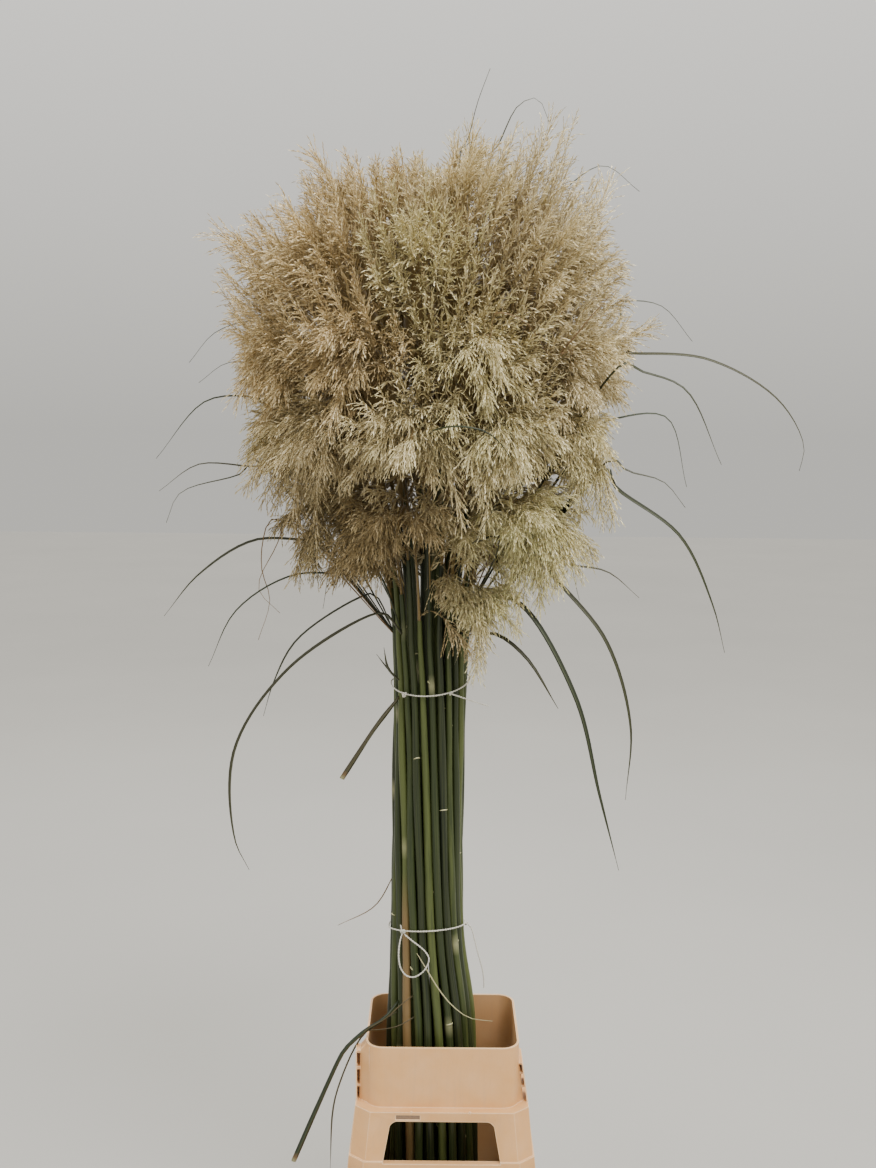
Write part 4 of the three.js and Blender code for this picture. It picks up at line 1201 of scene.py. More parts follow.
def strand_lines(path, look, closed=False, phase=0.0):
    """Two strands twisted about a path in millimetres, and how far along it each point is."""
    diameter = look.diameter / MM
    pitch = look.pitch / MM
    total = long_of(path)
    turns = max(1, round(total / pitch))
    count = int(turns * TWIST["steps"])
    line = evenly(path, count + 1)
    if closed:
        line = line[:-1]
    along, side, up = frames(line)
    if closed:
        outward = unit_rows(line - line.mean(axis=0))
        side = unit_rows(outward - along * (outward * along).sum(axis=1, keepdims=True))
        up = np.cross(along, side)
    angle = np.linspace(0, 2 * math.pi * turns, count + 1)[: len(line)] + phase
    lines = []
    for half in (0, math.pi):
        offset = side * np.cos(angle + half)[:, None] + up * np.sin(angle + half)[:, None]
        lines.append(line + offset * diameter * TWIST["out"])
    run = np.linspace(0, total, count + 1)[: len(line)] * MM
    return lines, run


def unit_rows(rows):
    return rows / np.maximum(np.linalg.norm(rows, axis=1, keepdims=True), 1e-9)


def twine_piece(name, paths, look, tree, finish):
    """Twisted twine along each (path, closed) of paths."""
    lines = []
    girths = []
    runs = []
    for number, (path, closed) in enumerate(paths):
        strands, run = strand_lines(path, look, closed, number)
        for strand in strands:
            lines.append((strand, closed))
            girths.append(np.full(len(strand), look.diameter * TWIST["radius"]))
            runs.append(run)
    guide = guide_mesh(name, lines, girth=girths, along=runs)
    return grow(name, guide, tree, Sides=6, Finish=finish)


def tie_path(height, middle, front, right):
    """One turn round the outer culms; its front and its right side lie higher by that much."""
    radius = RINGS[0]["upper"] + CULM_RADIUS[1] + TIE_OUT
    angle = np.linspace(0, 2 * math.pi, 97)
    z = height - front * np.minimum(0, np.sin(angle)) + right * np.cos(angle)
    return np.stack([middle + radius * np.cos(angle), radius * np.sin(angle), z], axis=1)


def knot_path(centre, size, tilt):
    """A small overhand knot: a trefoil seen from the front."""
    t = np.linspace(0, 2 * math.pi, 49)
    x = np.sin(t) + 2 * np.sin(2 * t)
    y = -np.sin(3 * t) * 0.9
    z = np.cos(t) - 2 * np.cos(2 * t)
    points = np.stack([x, y, z], axis=1) * size / 3
    turn = np.array(Matrix.Rotation(tilt, 3, "Z") @ Matrix.Rotation(tilt / 2, 3, "X"))
    return points @ turn.T + np.array(centre)


# ---------------------------------------------------------------- culms and leaves


def culm_line(culm):
    """The middle of a culm from its cut foot to where its plume begins."""
    free = [culm.at(culm.neck * t) for t in np.linspace(0.0, 1.0, 12)]
    line = evenly(smooth([*culm.tied, *free], 10), 64)
    held = np.ones(len(line))
    for height in (*TIES.values(), FOOT):
        held *= 1 - np.exp(-(((line[:, 2] - height) / SWAY["held"]) ** 2))
    held *= np.clip((FAN_START - line[:, 2]) / SWAY["end"], 0, 1)
    turn = 2 * math.pi * (line[:, 2] / SWAY["length"] + spread(culm.index, 15))
    outward_way = np.array((math.cos(culm.angle), math.sin(culm.angle), 0.0))
    return line + outward_way * (SWAY["out"] * held * np.sin(turn))[:, None]


def first_node(culm, internode):
    """How far up a culm its first visible node is."""
    return internode * spread(culm.index, 6)


def culm_girths(culm, line, internode):
    """Radius, and how pale a scar is, at each point of a culm."""
    total = long_of(line) * MM
    along = np.linspace(0, total, len(line))
    radii = [1.0, TAPER["radius"], NECK_RADIUS / culm.radius]
    taper = np.interp(along, [0, total * TAPER["share"], total], radii)
    first = first_node(culm, internode)
    away = np.abs((along - first + internode / 2) % internode - internode / 2)
    node = np.exp(-((away / NODE["width"]) ** 2))
    girth = culm.radius * MM * taper * (1 + NODE["swell"] * node)
    return along, girth, np.clip(node * 1.2 - 0.25, 0, 1) * NODE["scar"]


def scar_lips(culm, line, along, girth, internode):
    """The torn edge of a leaf sheath at each node, as short fat crescents of points."""
    marks = np.arange(first_node(culm, internode), along[-1], internode)
    steps, sides, ups = frames(line)
    lips = []
    for number, mark in enumerate(marks):
        k = int(np.searchsorted(along, mark))
        if k < 2 or k > len(line) - 3:
            continue
        turn = 2 * math.pi * spread(culm.index * 7 + number, 8)
        arc = np.linspace(-LIP["arc"], LIP["arc"], LIP["points"])
        radius = girth[k] / MM * LIP["out"]
        height = LIP["low"] + LIP["middle"] * np.cos(arc) ** 2 * spread(culm.index + number, 9)
        offset = sides[k] * np.cos(arc + turn)[:, None] + ups[k] * np.sin(arc + turn)[:, None]
        lips.append(line[k] + offset * radius + steps[k] * height[:, None])
    return lips


def culm_parts(culm, look):
    """A culm and the torn edges at its nodes: their lines, and what the material reads on them."""
    line = culm_line(culm)
    along, girth, scar = culm_girths(culm, line, look.internode)
    withered = np.clip((DRY["top"] - line[:, 2]) / DRY["fade"], 0, 1)
    parts = [
        {
            "line": line,
            "girth": girth,
            "along": along + 3 * culm.index,
            "tone": np.full(len(line), spread(culm.index, 12)) + 0.12 * (along / along[-1] - 0.5),
            "dry": withered * (culm.index == DRY["culm"]),
            "scar": scar,
        }
    ]
    for lip in scar_lips(culm, line, along, girth, look.internode):
        count = len(lip)
        swell = np.sin(np.linspace(LIP["end"], math.pi - LIP["end"], count))
        parts.append(
            {
                "line": lip,
                "girth": LIP["radius"] * MM * swell,
                "along": np.linspace(0, 0.02, count),
                "tone": np.full(count, 0.8),
                "dry": np.full(count, 0.2),
                "scar": np.full(count, 0.9),
            }
        )
    return parts


def leaf_blade(points, width, turns, dryness, cut=False):
    """Corner points of a long keeled blade, with how far along and how dry each ring is."""
    steps = max(12, int(long_of(np.array(points, float)) / BLADE["step"]))
    line = evenly(smooth(points, 16), steps)
    along, _, _ = frames(line)
    ends = line[-1] - line[0]
    level = np.array((-ends[1], ends[0], 0.0))
    if np.linalg.norm(level) < 1:
        level = np.array((1.0, 0, 0))
    level = unit(level)
    rings = []
    runs = []
    total = long_of(line)
    for k, (point, way) in enumerate(zip(line, along)):
        t = k / (len(line) - 1)
        side = unit(level - way * (level @ way))
        flat = turned(side, way, mix(*turns, t) + BLADE["waver"] * math.sin(BLADE["waves"] * t))
        below = np.cross(way, flat)
        narrowing = 1 if cut else 1.3 - 1.28 * t * t
        wide = max(BLADE["least"], width * min(1, 0.5 + 2 * t, narrowing))
        keel = wide * BLADE["keel"]
        rings.append(
            [
                point - flat * wide / 2,
                point - below * keel,
                point + flat * wide / 2,
                point - below * (keel + BLADE["thick"]),
            ]
        )
        runs.append(t * total * MM)
    dry = np.full(len(line), dryness)
    if cut:
        dry[-1] = 2.0
    return np.array(rings), np.array(runs), dry


def blades_mesh(name, blades):
    """One mesh of several blades."""
    points = []
    faces = []
    along = []
    across = []
    dry = []
    for rings, runs, dried in blades:
        base = len(points)
        count = len(rings)
        for ring, run, dryness in zip(rings, runs, dried):
            points.extend(ring)
            along.extend([run] * 4)
            across.extend((-1, 0, 1, 0))
            dry.extend([dryness] * 4)
        for k in range(count - 1):
            for s in range(4):
                a = base + 4 * k + s
                b = base + 4 * k + (s + 1) % 4
                faces.append((a, b, b + 4, a + 4))
        faces.append(tuple(base + s for s in (3, 2, 1, 0)))
        faces.append(tuple(base + 4 * (count - 1) + s for s in range(4)))
    mesh = solid_mesh(name, points, faces)
    store(mesh, "along", along)
    store(mesh, "across", across)
    store(mesh, "dry", dry)
    outward(mesh)
    mesh.shade_smooth()
    return mesh


def outward(mesh):
    """Turns the faces of each closed part of a mesh outwards."""
    work = bmesh.new()
    work.from_mesh(mesh)
    bmesh.ops.recalc_face_normals(work, faces=work.faces)
    work.to_mesh(mesh)
    work.free()


def host_of(point):
    """The culm whose free part passes nearest to a point."""
    point = np.array(point, float)
    away = [np.linalg.norm(culm.free - point, axis=1).min() for culm in CULMS]
    return CULMS[int(np.argmin(away))]


def tied_host_of(point):
    """The culm whose tied part passes nearest to a point, and the nearest place on it."""
    point = np.array(point, float)
    best = None
    for culm in CULMS:
        line = evenly(culm.tied, 60)
        away = np.linalg.norm(line - point, axis=1)
        if best is None or away.min() < best[0]:
            best = (away.min(), culm, line[int(away.argmin())])
    return best[1], best[2]


def leaf_points(route):
    """A leaf's line: out of its culm, then along its route."""
    start = np.array(route[0], float)
    host = host_of(start)
    exit_share = np.linalg.norm(host.free - start, axis=1).argmin() / (len(host.free) - 1)
    root = max(0.01, min(host.neck - 0.02, exit_share) - 0.13)
    halfway = mix(host.at(min(exit_share, 0.98)), start, 0.55)
    return host, [host.at(root), halfway, *route]


# ---------------------------------------------------------------- plumes


def droop_line(start, way, reach, sag, count=7):
    """A branch that leaves along its way and falls under its own weight."""
    u = np.linspace(0, 1, count)[:, None]
    level = math.hypot(way[0], way[1])
    fall = sag * reach * (0.3 + 0.7 * level) * u**2
    line = start + way * reach * (u - 0.08 * u**2)
    line[:, 2] -= fall[:, 0]
    return line


def head_reach(ways):
    """How far the head reaches from its middle along each way."""
    rise = np.degrees(np.arcsin(np.clip(ways[:, 2], -1, 1)))
    angle, left, right, deep = np.array(HEAD_REACH, float).T
    side = np.where(ways[:, 0] < 0, np.interp(rise, angle, left), np.interp(rise, angle, right))
    deep = np.interp(rise, angle, deep)
    flat = unit_rows(ways[:, :2])
    return 1 / np.sqrt((flat[:, 0] / side) ** 2 + (flat[:, 1] / deep) ** 2)


def depth_of(points):
    """How near the outside of the head each point is: 0 at its middle, 1 at its outside."""
    away = points - HEAD
    return np.linalg.norm(away, axis=1) / head_reach(unit_rows(away))


def layer_targets(count, near, far, random, lowest=-1.0):
    """Points spread evenly over one layer of the head, where its tassels end."""
    number = np.arange(count) + 0.5
    rise = 1 - 2 * number / count
    around = number * GOLDEN_ANGLE
    level = np.sqrt(1 - rise**2)
    ways = np.stack([level * np.cos(around), level * np.sin(around), rise], axis=1)
    targets = HEAD + ways * (head_reach(ways) * random.uniform(near, far, count))[:, None]
    parted = np.zeros(count, bool)
    for low, high in np.array(PARTINGS, float):
        parted |= ((targets > low) & (targets < high)).all(axis=1)
    return targets[(rise > lowest) & ~parted]


def share_out(targets, random):
    """Gives each target to a plume that passes near: (target, share of its fan, distance) by plume."""
    owned = [[] for _ in CULMS]
    shares = [np.linspace(culm.neck, 1, 50) for culm in CULMS]
    axes = np.array([[culm.at(t) for t in share] for culm, share in zip(CULMS, shares)])
    for target in targets:
        away = np.linalg.norm(axes - target, axis=2)
        host = (away.min(axis=1) + random.uniform(0, MINGLE, len(CULMS))).argmin()
        place = away[host].argmin()
        owned[host].append((target, shares[host][place], away[host][place]))
    return owned


def lowness(height):
    """0 in the upper half of the head, 1 at its foot."""
    return float(np.clip((HEAD[2] + LOW_HALF["above"] - height) / LOW_HALF["fade"], 0, 1))


def point_on(line, place):
    """The point at a place on a line, counted in its points."""
    before = int(place)
    return mix(line[before], line[before + 1], place - before)


def bow(root, handle, end, count):
    """A bent line from root to end, drawn towards its handle."""
    t = np.linspace(0, 1, count)[:, None]
    return root * (1 - t) ** 2 + 2 * handle * t * (1 - t) + end * t**2


def fanned(ahead, around, tilt):
    """The way tilted out of the one ahead by so many degrees, turned round it by an angle."""
    turn = turned(unit(np.cross(ahead, ASLANT)), ahead, around)
    tilt = math.radians(tilt)
    return unit(ahead * math.cos(tilt) + turn * math.sin(tilt))


def tassel(culm, target, near, away, look, random):
    """A branch out to a target: high up it turns along its rachis, low down it arches and falls."""
    low = lowness(target[2])
    back = min(mix(*TASSEL["back"], low) * away + TASSEL["more"], mix(*TASSEL["most"], low))
    root_share = max(culm.neck + 0.02, near - back / long_of(culm.free))
    root = culm.at(root_share)
    lobe = 0.975 + 0.04 * spread(culm.index, 14)
    end = HEAD + (target - HEAD) * lobe
    reach = np.linalg.norm(end - root)
    end[2] -= look.droop * low * reach * random.uniform(0.5, 1.3)
    step = end - root
    axis = culm.along(root_share)
    onward = axis * (step @ axis)
    swept = root + (step - onward) * 0.8 + onward * 0.4
    arched = root + unit(axis * 0.6 + unit(step) * 0.5 + (0, 0, 0.25)) * reach * 0.5
    return bow(root, mix(swept, arched, low), end, 6)


def branch(line, girth=(0.0, 0.0), lush=1.0, shade=1.0, cream=0.3, coarse=1.0, sparse=1.0, core=None):
    """A line of a plume, and what its strands need to know."""
    return {
        "line": line,
        "girth": np.linspace(*girth, len(line)),
        "lush": lush,
        "shade": shade,
        "cream": cream,
        "coarse": coarse,
        "sparse": sparse,
        "core": np.zeros(len(line)) if core is None else core,
    }


def plume_lines(culm, owned, inner, look, random):
    """The rachis, core and branches of one plume."""
    rachis = np.array([culm.at(t) for t in np.linspace(culm.neck, 1, RACHIS["points"])])
    lines = [
        branch(rachis, girth=RACHIS["girth"], lush=0.0, shade=0.8),
        branch(rachis[RACHIS["bare"] :], lush=1.4, shade=0.7),
    ]
    middle = evenly(rachis[1:-1], CORE["points"])
    fat = np.interp(np.linspace(0, 1, CORE["points"]), CORE["shares"], CORE["radii"])
    fat = fat * min(1.0, culm.plume_length / CORE["plume"])
    fat *= np.clip((CORE["deep"] - depth_of(middle)) / CORE["fade"], CORE["least"], 1)
    # The core has tone 0, so it takes the inner colour: a dark fill of painted shade that stands for the
    # shade between the tufts.
    lines.append(branch(middle, lush=0.0, shade=0.0, core=fat))
    for target, near, away in owned:
        main = tassel(culm, target, near, away, look, random)
        low = lowness(target[2])
        shade = random.uniform(mix(0.72, 0.5, low), 1.0)
        lines.append(branch(main, girth=(0.8, 0.25), shade=shade))
        lines.extend(side_lines(main, look.side_branches, low, shade, random))
    for target, near, away in inner:
        main = tassel(culm, target, near, away, look, random)
        lines.append({**branch(main), **INNER})
        parts = side_lines(main, INNER_BRANCHES, 1.0, 1.0, random)
        lines.extend({**part, **INNER} for part in parts)
    lines.extend(tip_lines(culm, random))
    if culm.index == HANGING["culm"]:
        lines.extend(hanging_lines(random))
    return lines


def side_lines(main, count, low, shade, random):
    """Finer branches that fan out of a tassel: close to it high up, round like a tuft low down."""
    made = []
    ahead = unit(main[-1] - main[-3])
    first = mix(*SIDE["first"], low)
    least_tilt = mix(*SIDE["least_tilt"], low)
    most_tilt = mix(*SIDE["most_tilt"], low)
    for number in range(count):
        u = mix(first, SIDE["last"], number / count)
        start = point_on(main, u * (len(main) - 1))
        around = number * GOLDEN_ANGLE + random.uniform(0, SIDE["stray"])
        way = fanned(ahead, around, random.uniform(least_tilt, most_tilt))
        reach = mix(*SIDE["reach"], (u - first) / (1 - first)) * random.uniform(*SIDE["vary"])
        line = droop_line(start, way, reach, SIDE["sag"], 4)
        made.append(branch(line, shade=shade, cream=random.random() ** 3))
    return made


def tip_lines(culm, random):
    """The tapering end of a plume, which stands out of the head."""
    spray = [target for target in np.array(TIP_SPRAYS, float) if nearest_tip(target) is culm]
    if spray:
        own = FAR_TIP
        end = spray[0]
    else:
        own = NEAR_TIP
        way = unit(culm.at(1) - HEAD)
        end = HEAD + way * head_reach(way[None])[0] * TIP["out"]
    handle = culm.at(TIP["handle"])
    main = bow(culm.at(TIP["root"]), handle, end, 9)
    lines = [branch(main, girth=(1.0, 0.3), lush=1.2)]
    ahead = unit(end - handle)
    longest = min(own["reach"], long_of(main) * 0.5)
    for number in range(own["branches"]):
        u = 0.1 + 0.85 * number / own["branches"]
        start = point_on(main, u * (len(main) - 1))
        way = fanned(ahead, number * GOLDEN_ANGLE, random.uniform(TIP["least_tilt"], own["tilt"]))
        line = droop_line(start, way, longest * mix(1.0, 0.5, u), TIP["sag"], 4)
        lines.append(branch(line, cream=random.random() ** 3))
    return lines


def nearest_tip(target):
    """The culm whose tip is nearest to a point."""
    return min(CULMS, key=lambda culm: np.linalg.norm(culm.at(1) - target))


def hanging_lines(random):
    """The branches of the small spray that hangs beside the culms."""
    host = CULMS[HANGING["culm"]]
    main = evenly(smooth([host.at(mix(host.neck, 1, 0.3)), *HANGING["route"]], 8), 16)
    lines = [branch(main, girth=(1.0, 0.3))]
    for number in range(HANGING["branches"]):
        start = point_on(main, HANGING["first"] + number * HANGING["step"])
        around = number * GOLDEN_ANGLE
        round_way = np.array((math.cos(around), math.sin(around), 0.0))
        way = unit(round_way * 0.5 + np.array((0.05, 0.0, -0.8)))
        line = droop_line(start, way, random.uniform(*HANGING["reach"]), HANGING["sag"], 4)
        lines.append(branch(line, cream=0.6 * random.random()))
    return lines


def freshness(line):
    """How much greener the florets are at each point."""
    total = np.zeros(len(line))
    for middle, size, amount in FRESH_SPOTS:
        away = ((line[:, 0] - middle[0]) / size[0]) ** 2 + ((line[:, 2] - middle[1]) / size[1]) ** 2
        total += amount * np.exp(-away)
    return total


def plume_piece(culm, lines, spacing, look, tree, finish):
    """One plume: a rachis, tassels of branches, and their strands of florets."""
    random = np.random.default_rng(look.seed * 2000 + culm.index)
    guides = []
    kept = ("girth", "core", "lush", "coarse", "sparse", "cream", "fall", "tone", "green", "warm")
    values = {key: [] for key in kept}
    for part in lines:
        line = part["line"]
        count = len(line)
        even = np.ones(count)
        guides.append((line, False))
        values["girth"].append(part["girth"] * MM)
        values["core"].append(part["core"] * MM)
        for key in ("lush", "coarse", "sparse", "cream"):
            values[key].append(even * part[key])
        low = np.clip((HEAD[2] + FALL["above"] - line[:, 2]) / FALL["fade"], 0, 1)
        values["fall"].append(FALL["least"] + FALL["more"] * low)
        # Tone: painted shade deep inside the head, partly the florets' own darker colour, and painted shade
        # under its left side, times each tassel's shade and the plume's paleness.
        outer = np.clip((depth_of(line) - DEEP_TINT_AND_SHADE["dark"]) / (DEEP_TINT_AND_SHADE["light"] - DEEP_TINT_AND_SHADE["dark"]), 0, 1)
        # Painted shade under the head's left side.
        left = np.clip((UNDERSIDE_SHADE["right"] - line[:, 0]) / UNDERSIDE_SHADE["fade"], 0, 1)
        below = np.clip((UNDERSIDE_SHADE["top"] - line[:, 2]) / UNDERSIDE_SHADE["fade"], 0, 1)
        underside_shade = 1 - UNDERSIDE_SHADE["dark"] * left * below
        values["tone"].append(part["shade"] * outer * culm.pale * underside_shade)
        green = culm.green + random.uniform(-TINT_STRAY, TINT_STRAY) + freshness(line)
        values["green"].append(even * np.clip(green, 0, 1))
        warm = culm.warm + random.uniform(-TINT_STRAY, TINT_STRAY)
        values["warm"].append(even * np.clip(warm, 0, 1))
    name = f"panicle_{culm.index + 1:02d}"
    guide = guide_mesh(name, guides, **values)
    return grow(
        name,
        guide,
        tree,
        Spacing=spacing,
        Strand_Length=look.strand_length,
        Strand_Width=look.strand_width,
        Curl=look.strand_curl,
        Spread=look.spread,
        Seed=culm.index * 10,
        Finish=finish,
    )


# ---------------------------------------------------------------- bucket and collar


def outline(size, corner, steps, z):
    """A level rectangle with rounded corners, or chamfered ones where steps is 1."""
    points = []
    for quarter in range(4):
        sign_x = 1 if quarter in (0, 3) else -1
        sign_y = 1 if quarter < 2 else -1
        for k in range(steps + 1):
            angle = (quarter + k / steps) * math.pi / 2
            x = sign_x * (size[0] / 2 - corner[0]) + corner[0] * math.cos(angle)
            y = sign_y * (size[1] / 2 - corner[1]) + corner[1] * math.sin(angle)
            points.append((x, y, z))
    return points


def rounded(size, corner, z):
    return outline(size, (corner, corner), 12, z)


def chamfered(size, corner, z):
    return outline(size, corner, 1, z)


def inset(size, by):
    return (size[0] - 2 * by, size[1] - 2 * by)


def size_at(bottom, top, t):
    return (mix(bottom[0], top[0], t), mix(bottom[1], top[1], t))


def loft(name, rings):
    """An object closed through level rings of as many points each."""
    points = [p for ring in rings for p in ring]
    count = len(rings[0])
    faces = [tuple(reversed(range(count)))]
    for r in range(len(rings) - 1):
        for k in range(count):
            a = r * count + k
            b = r * count + (k + 1) % count
            faces.append((a, b, b + count, a + count))
    faces.append(tuple(range((len(rings) - 1) * count, len(rings) * count)))
    mesh = solid_mesh(name, points, faces)
    outward(mesh)
    return link(name, mesh)


def tapered(name, shape, *levels):
    """An object of one outline, rounded or chamfered, through (size, corner, height) levels."""
    return loft(name, [shape(*level) for level in levels])


def block(name, low, high):
    rings = []
    for z in (low[2], high[2]):
        rings.append([(high[0], high[1], z), (low[0], high[1], z), (low[0], low[1], z), (high[0], low[1], z)])
    return loft(name, rings)


def combine(target, others, operation):
    """Joins the others to the target, or cuts them out of it, and deletes them."""
    for other in others:
        modifier = target.modifiers.new("combine", "BOOLEAN")
        modifier.operation = operation
        modifier.solver = "MANIFOLD"
        modifier.object = other
        evaluated(target)
        spent = other.data
        bpy.data.objects.remove(other)
        bpy.data.meshes.remove(spent)
    return target


def window_hole(name, widths, reach, across):
    """A window's hole, rounded at its head, through front and back or through both sides."""
    sill, head = widths
    corner = WINDOW["corner"]
    profile = [(-sill / 2, WINDOW["sill"]), (sill / 2, WINDOW["sill"])]
    for sign, first in ((1, 0), (-1, math.pi / 2)):
        for k in range(9):
            angle = first + k / 8 * math.pi / 2
            x = sign * (head / 2 - corner) + corner * math.cos(angle)
            profile.append((x, WINDOW["head"] - corner + corner * math.sin(angle)))
    ends = []
    for way in (-reach, reach):
        ends.append([(p, way, z) if across == "front" else (way, p, z) for p, z in profile])
    return loft(name, ends)


def flange(side):
    """One side's ladder: the leaning outer strip, the cheek beside the sleeve, the ribs and the web."""
    own = FLANGE["left" if side < 0 else "right"]
    foot_x = FRAME["top"][0] / 2
    head_x = own["reach"]
    thick = FLANGE["thick"]
    front, back = FLANGE["front"], FLANGE["back"]
    ledge = COLLAR["ledge"]

    def strip_ring(x, z):
        inner, outer = side * (x - thick), side * x
        return [(inner, front, z), (outer, front, z), (outer, back, z), (inner, back, z)]

    parts = [loft("strip", [strip_ring(foot_x, ledge - BITE), strip_ring(head_x, own["top"])])]
    root = side * (SLEEVE["top"][0] / 2 - FLANGE["root"])
    root_front, out_front = (front + by for by in FLANGE["cheek_front"])
    cheek = []
    for out, z in own["cheek"]:
        out *= side
        cheek.append([(root, root_front, z), (out, out_front, z), (out, back, z), (root, back, z)])
    parts.append(loft("cheek", cheek))
    for low, high in own["ribs"]:
        reach = mix(foot_x, head_x, (high - ledge) / (own["top"] - ledge)) - thick / 2
        near, far = sorted((root, side * reach))
        parts.append(block("rib", (near, front + FLANGE["rib_front"], low), (far, back, high)))
    near, far = sorted((root, side * (min(foot_x, head_x) - thick / 2)))
    web_front, web_back = (back + by for by in FLANGE["web"])
    parts.append(block("web", (near, web_front, ledge - BITE), (far, web_back, own["top"] - BITE)))
    return parts


def pip(x, y, z):
    """A small flat dome on the ledge's front edge."""
    circle = [2 * math.pi * k / PIPS["sides"] for k in range(PIPS["sides"])]
    rings = []
    for share, rise in ((1.0, -1.2), (1.0, 0.35), (0.55, 1.0)):
        radius = PIPS["radius"] * share
        middle = y + PIPS["behind"]
        level = z + PIPS["height"] * rise
        rings.append([(x + radius * math.cos(a), middle + radius * math.sin(a), level) for a in circle])
    return loft("pip", rings)


def rounded_edges(piece, radius):
    """Rounds the sharp edges and smooths the rest."""
    modifier = piece.modifiers.new("edges", "BEVEL")
    modifier.width = radius
    modifier.segments = EDGES["segments"]
    modifier.limit_method = "ANGLE"
    modifier.angle_limit = math.radians(EDGES["rounded"])
    modifier.harden_normals = False
    evaluated(piece)
    piece.data.shade_smooth()
    piece.data.set_sharp_from_angle(angle=math.radians(EDGES["sharp"]))
    return piece


def cleaned(piece):
    """Merges doubled points and flat neighbours left by the cuts."""
    work = bmesh.new()
    work.from_mesh(piece.data)
    bmesh.ops.remove_doubles(work, verts=work.verts, dist=MERGE["distance"])
    flat = math.radians(MERGE["angle"])
    bmesh.ops.dissolve_limit(
        work, angle_limit=flat, verts=work.verts, edges=work.edges, delimit={"NORMAL"}
    )
    work.to_mesh(piece.data)
    work.free()
    return piece


def make_collar(radius):
    """The collar: sleeve, frame, rail band, tongue, flanges and marks, with its bores and windows cut."""
    ledge = COLLAR["ledge"]
    rail = COLLAR["rail"]
    rim = COLLAR["rim"]
    seat = BUCKET["height"] + GAP
    tongue_foot = seat - TONGUE["drop"]
    sleeve_foot = ledge - WALL
    rail_size = size_at(FRAME["bottom"], FRAME["top"], (rail - seat) / (ledge - seat))
    corner = SLEEVE["corner"]
    tongue_corner = BUCKET["corner"] - WALL
    chamfer = FRAME["chamfer"]
    shell = tapered(
        "collar_shell", rounded, (SLEEVE["bottom"], corner, sleeve_foot), (SLEEVE["top"], corner, rim)
    )
    skirt = tapered(
        "skirt", chamfered, (FRAME["bottom"], chamfer, seat), (FRAME["top"], chamfer, ledge)
    )
    tongue = tapered(
        "tongue",
        rounded,
        (TONGUE["size"], tongue_corner, tongue_foot),
        (TONGUE["size"], tongue_corner, seat + BITE),
    )
    band = tapered(
        "band",
        chamfered,
        (inset(FRAME["bottom"], -BAND["out"]), chamfer, seat),
        (inset(rail_size, -BAND["out"]), chamfer, rail + BAND["above"]),
    )
    pips = [pip(x, -FRAME["top"][1] / 2, ledge) for x in PIPS["x"]]
    combine(shell, [skirt, band, tongue, *pips, *flange(-1), *flange(1)], "UNION")
    throat = tapered(
        "throat",
        rounded,
        (inset(TONGUE["size"], WALL), tongue_corner, tongue_foot - BITE),
        (inset(FRAME["bottom"], RAIL_WALL + WALL), tongue_corner, rail),
    )
    chamber = tapered(
        "chamber",
        chamfered,
        (inset(rail_size, WALL), chamfer, rail - 0.01),
        (inset(FRAME["top"], WALL), chamfer, sleeve_foot),
    )
    bore = tapered(
        "bore",
        rounded,
        (inset(SLEEVE["bottom"], WALL), corner - WALL, sleeve_foot - BITE),
        (inset(SLEEVE["top"], WALL), corner - WALL, rim + BITE),
    )
    face_y = -mix(FRAME["bottom"][1], FRAME["top"][1], (LABEL["z"] - seat) / (ledge - seat)) / 2
    half_width = LABEL["width"] / 2
    half_height = LABEL["height"] / 2
    label = block(
        "label",
        (LABEL["x"] - half_width, face_y - 10, LABEL["z"] - half_height),
        (LABEL["x"] + half_width, face_y + LABEL["depth"], LABEL["z"] + half_height),
    )
    reach = FRAME["bottom"][0]
    holes = [window_hole(f"window_{side}", WINDOW[side], reach, side) for side in ("front", "side")]
    combine(shell, [throat, chamber, bore, *holes, label], "DIFFERENCE")
    return rounded_edges(cleaned(shell), radius)


def make_bucket(radius):
    """The plain tapered tub with its thicker rim."""
    height = BUCKET["height"]
    corner = BUCKET["corner"]
    wall_top = height - BUCKET_RIM["drop"]
    shell = tapered(
        "bucket_shell",
        rounded,
        (BUCKET["bottom"], corner, 0),
        (size_at(BUCKET["bottom"], BUCKET["top"], wall_top / height), corner, wall_top),
        (BUCKET_RIM["size"], BUCKET_RIM["corner"], wall_top),
        (BUCKET_RIM["size"], BUCKET_RIM["corner"], height),
    )
    hollow = tapered(
        "hollow",
        rounded,
        (inset(BUCKET["bottom"], WALL), corner - WALL, BUCKET["floor"]),
        (inset(BUCKET["top"], WALL), corner - WALL, height + BITE),
    )
    combine(shell, [hollow], "DIFFERENCE")
    return rounded_edges(cleaned(shell), radius)


# ---------------------------------------------------------------- operators


def settings():
    return bpy.context.scene.pampas


# The trees and materials made so far, by name.
MADE = {}


def made_once(name, maker, *arguments):
    """A tree or material by its name, made on first use."""
    if name not in MADE:
        MADE[name] = maker(*arguments)
    return MADE[name]


def tubes():
    return made_once("tubes", tube_tree)


def fibres():
    return made_once("fibres", fibre_group)


def twine_finish():
    return made_once("twine", twine_material, settings().twine, fibres())


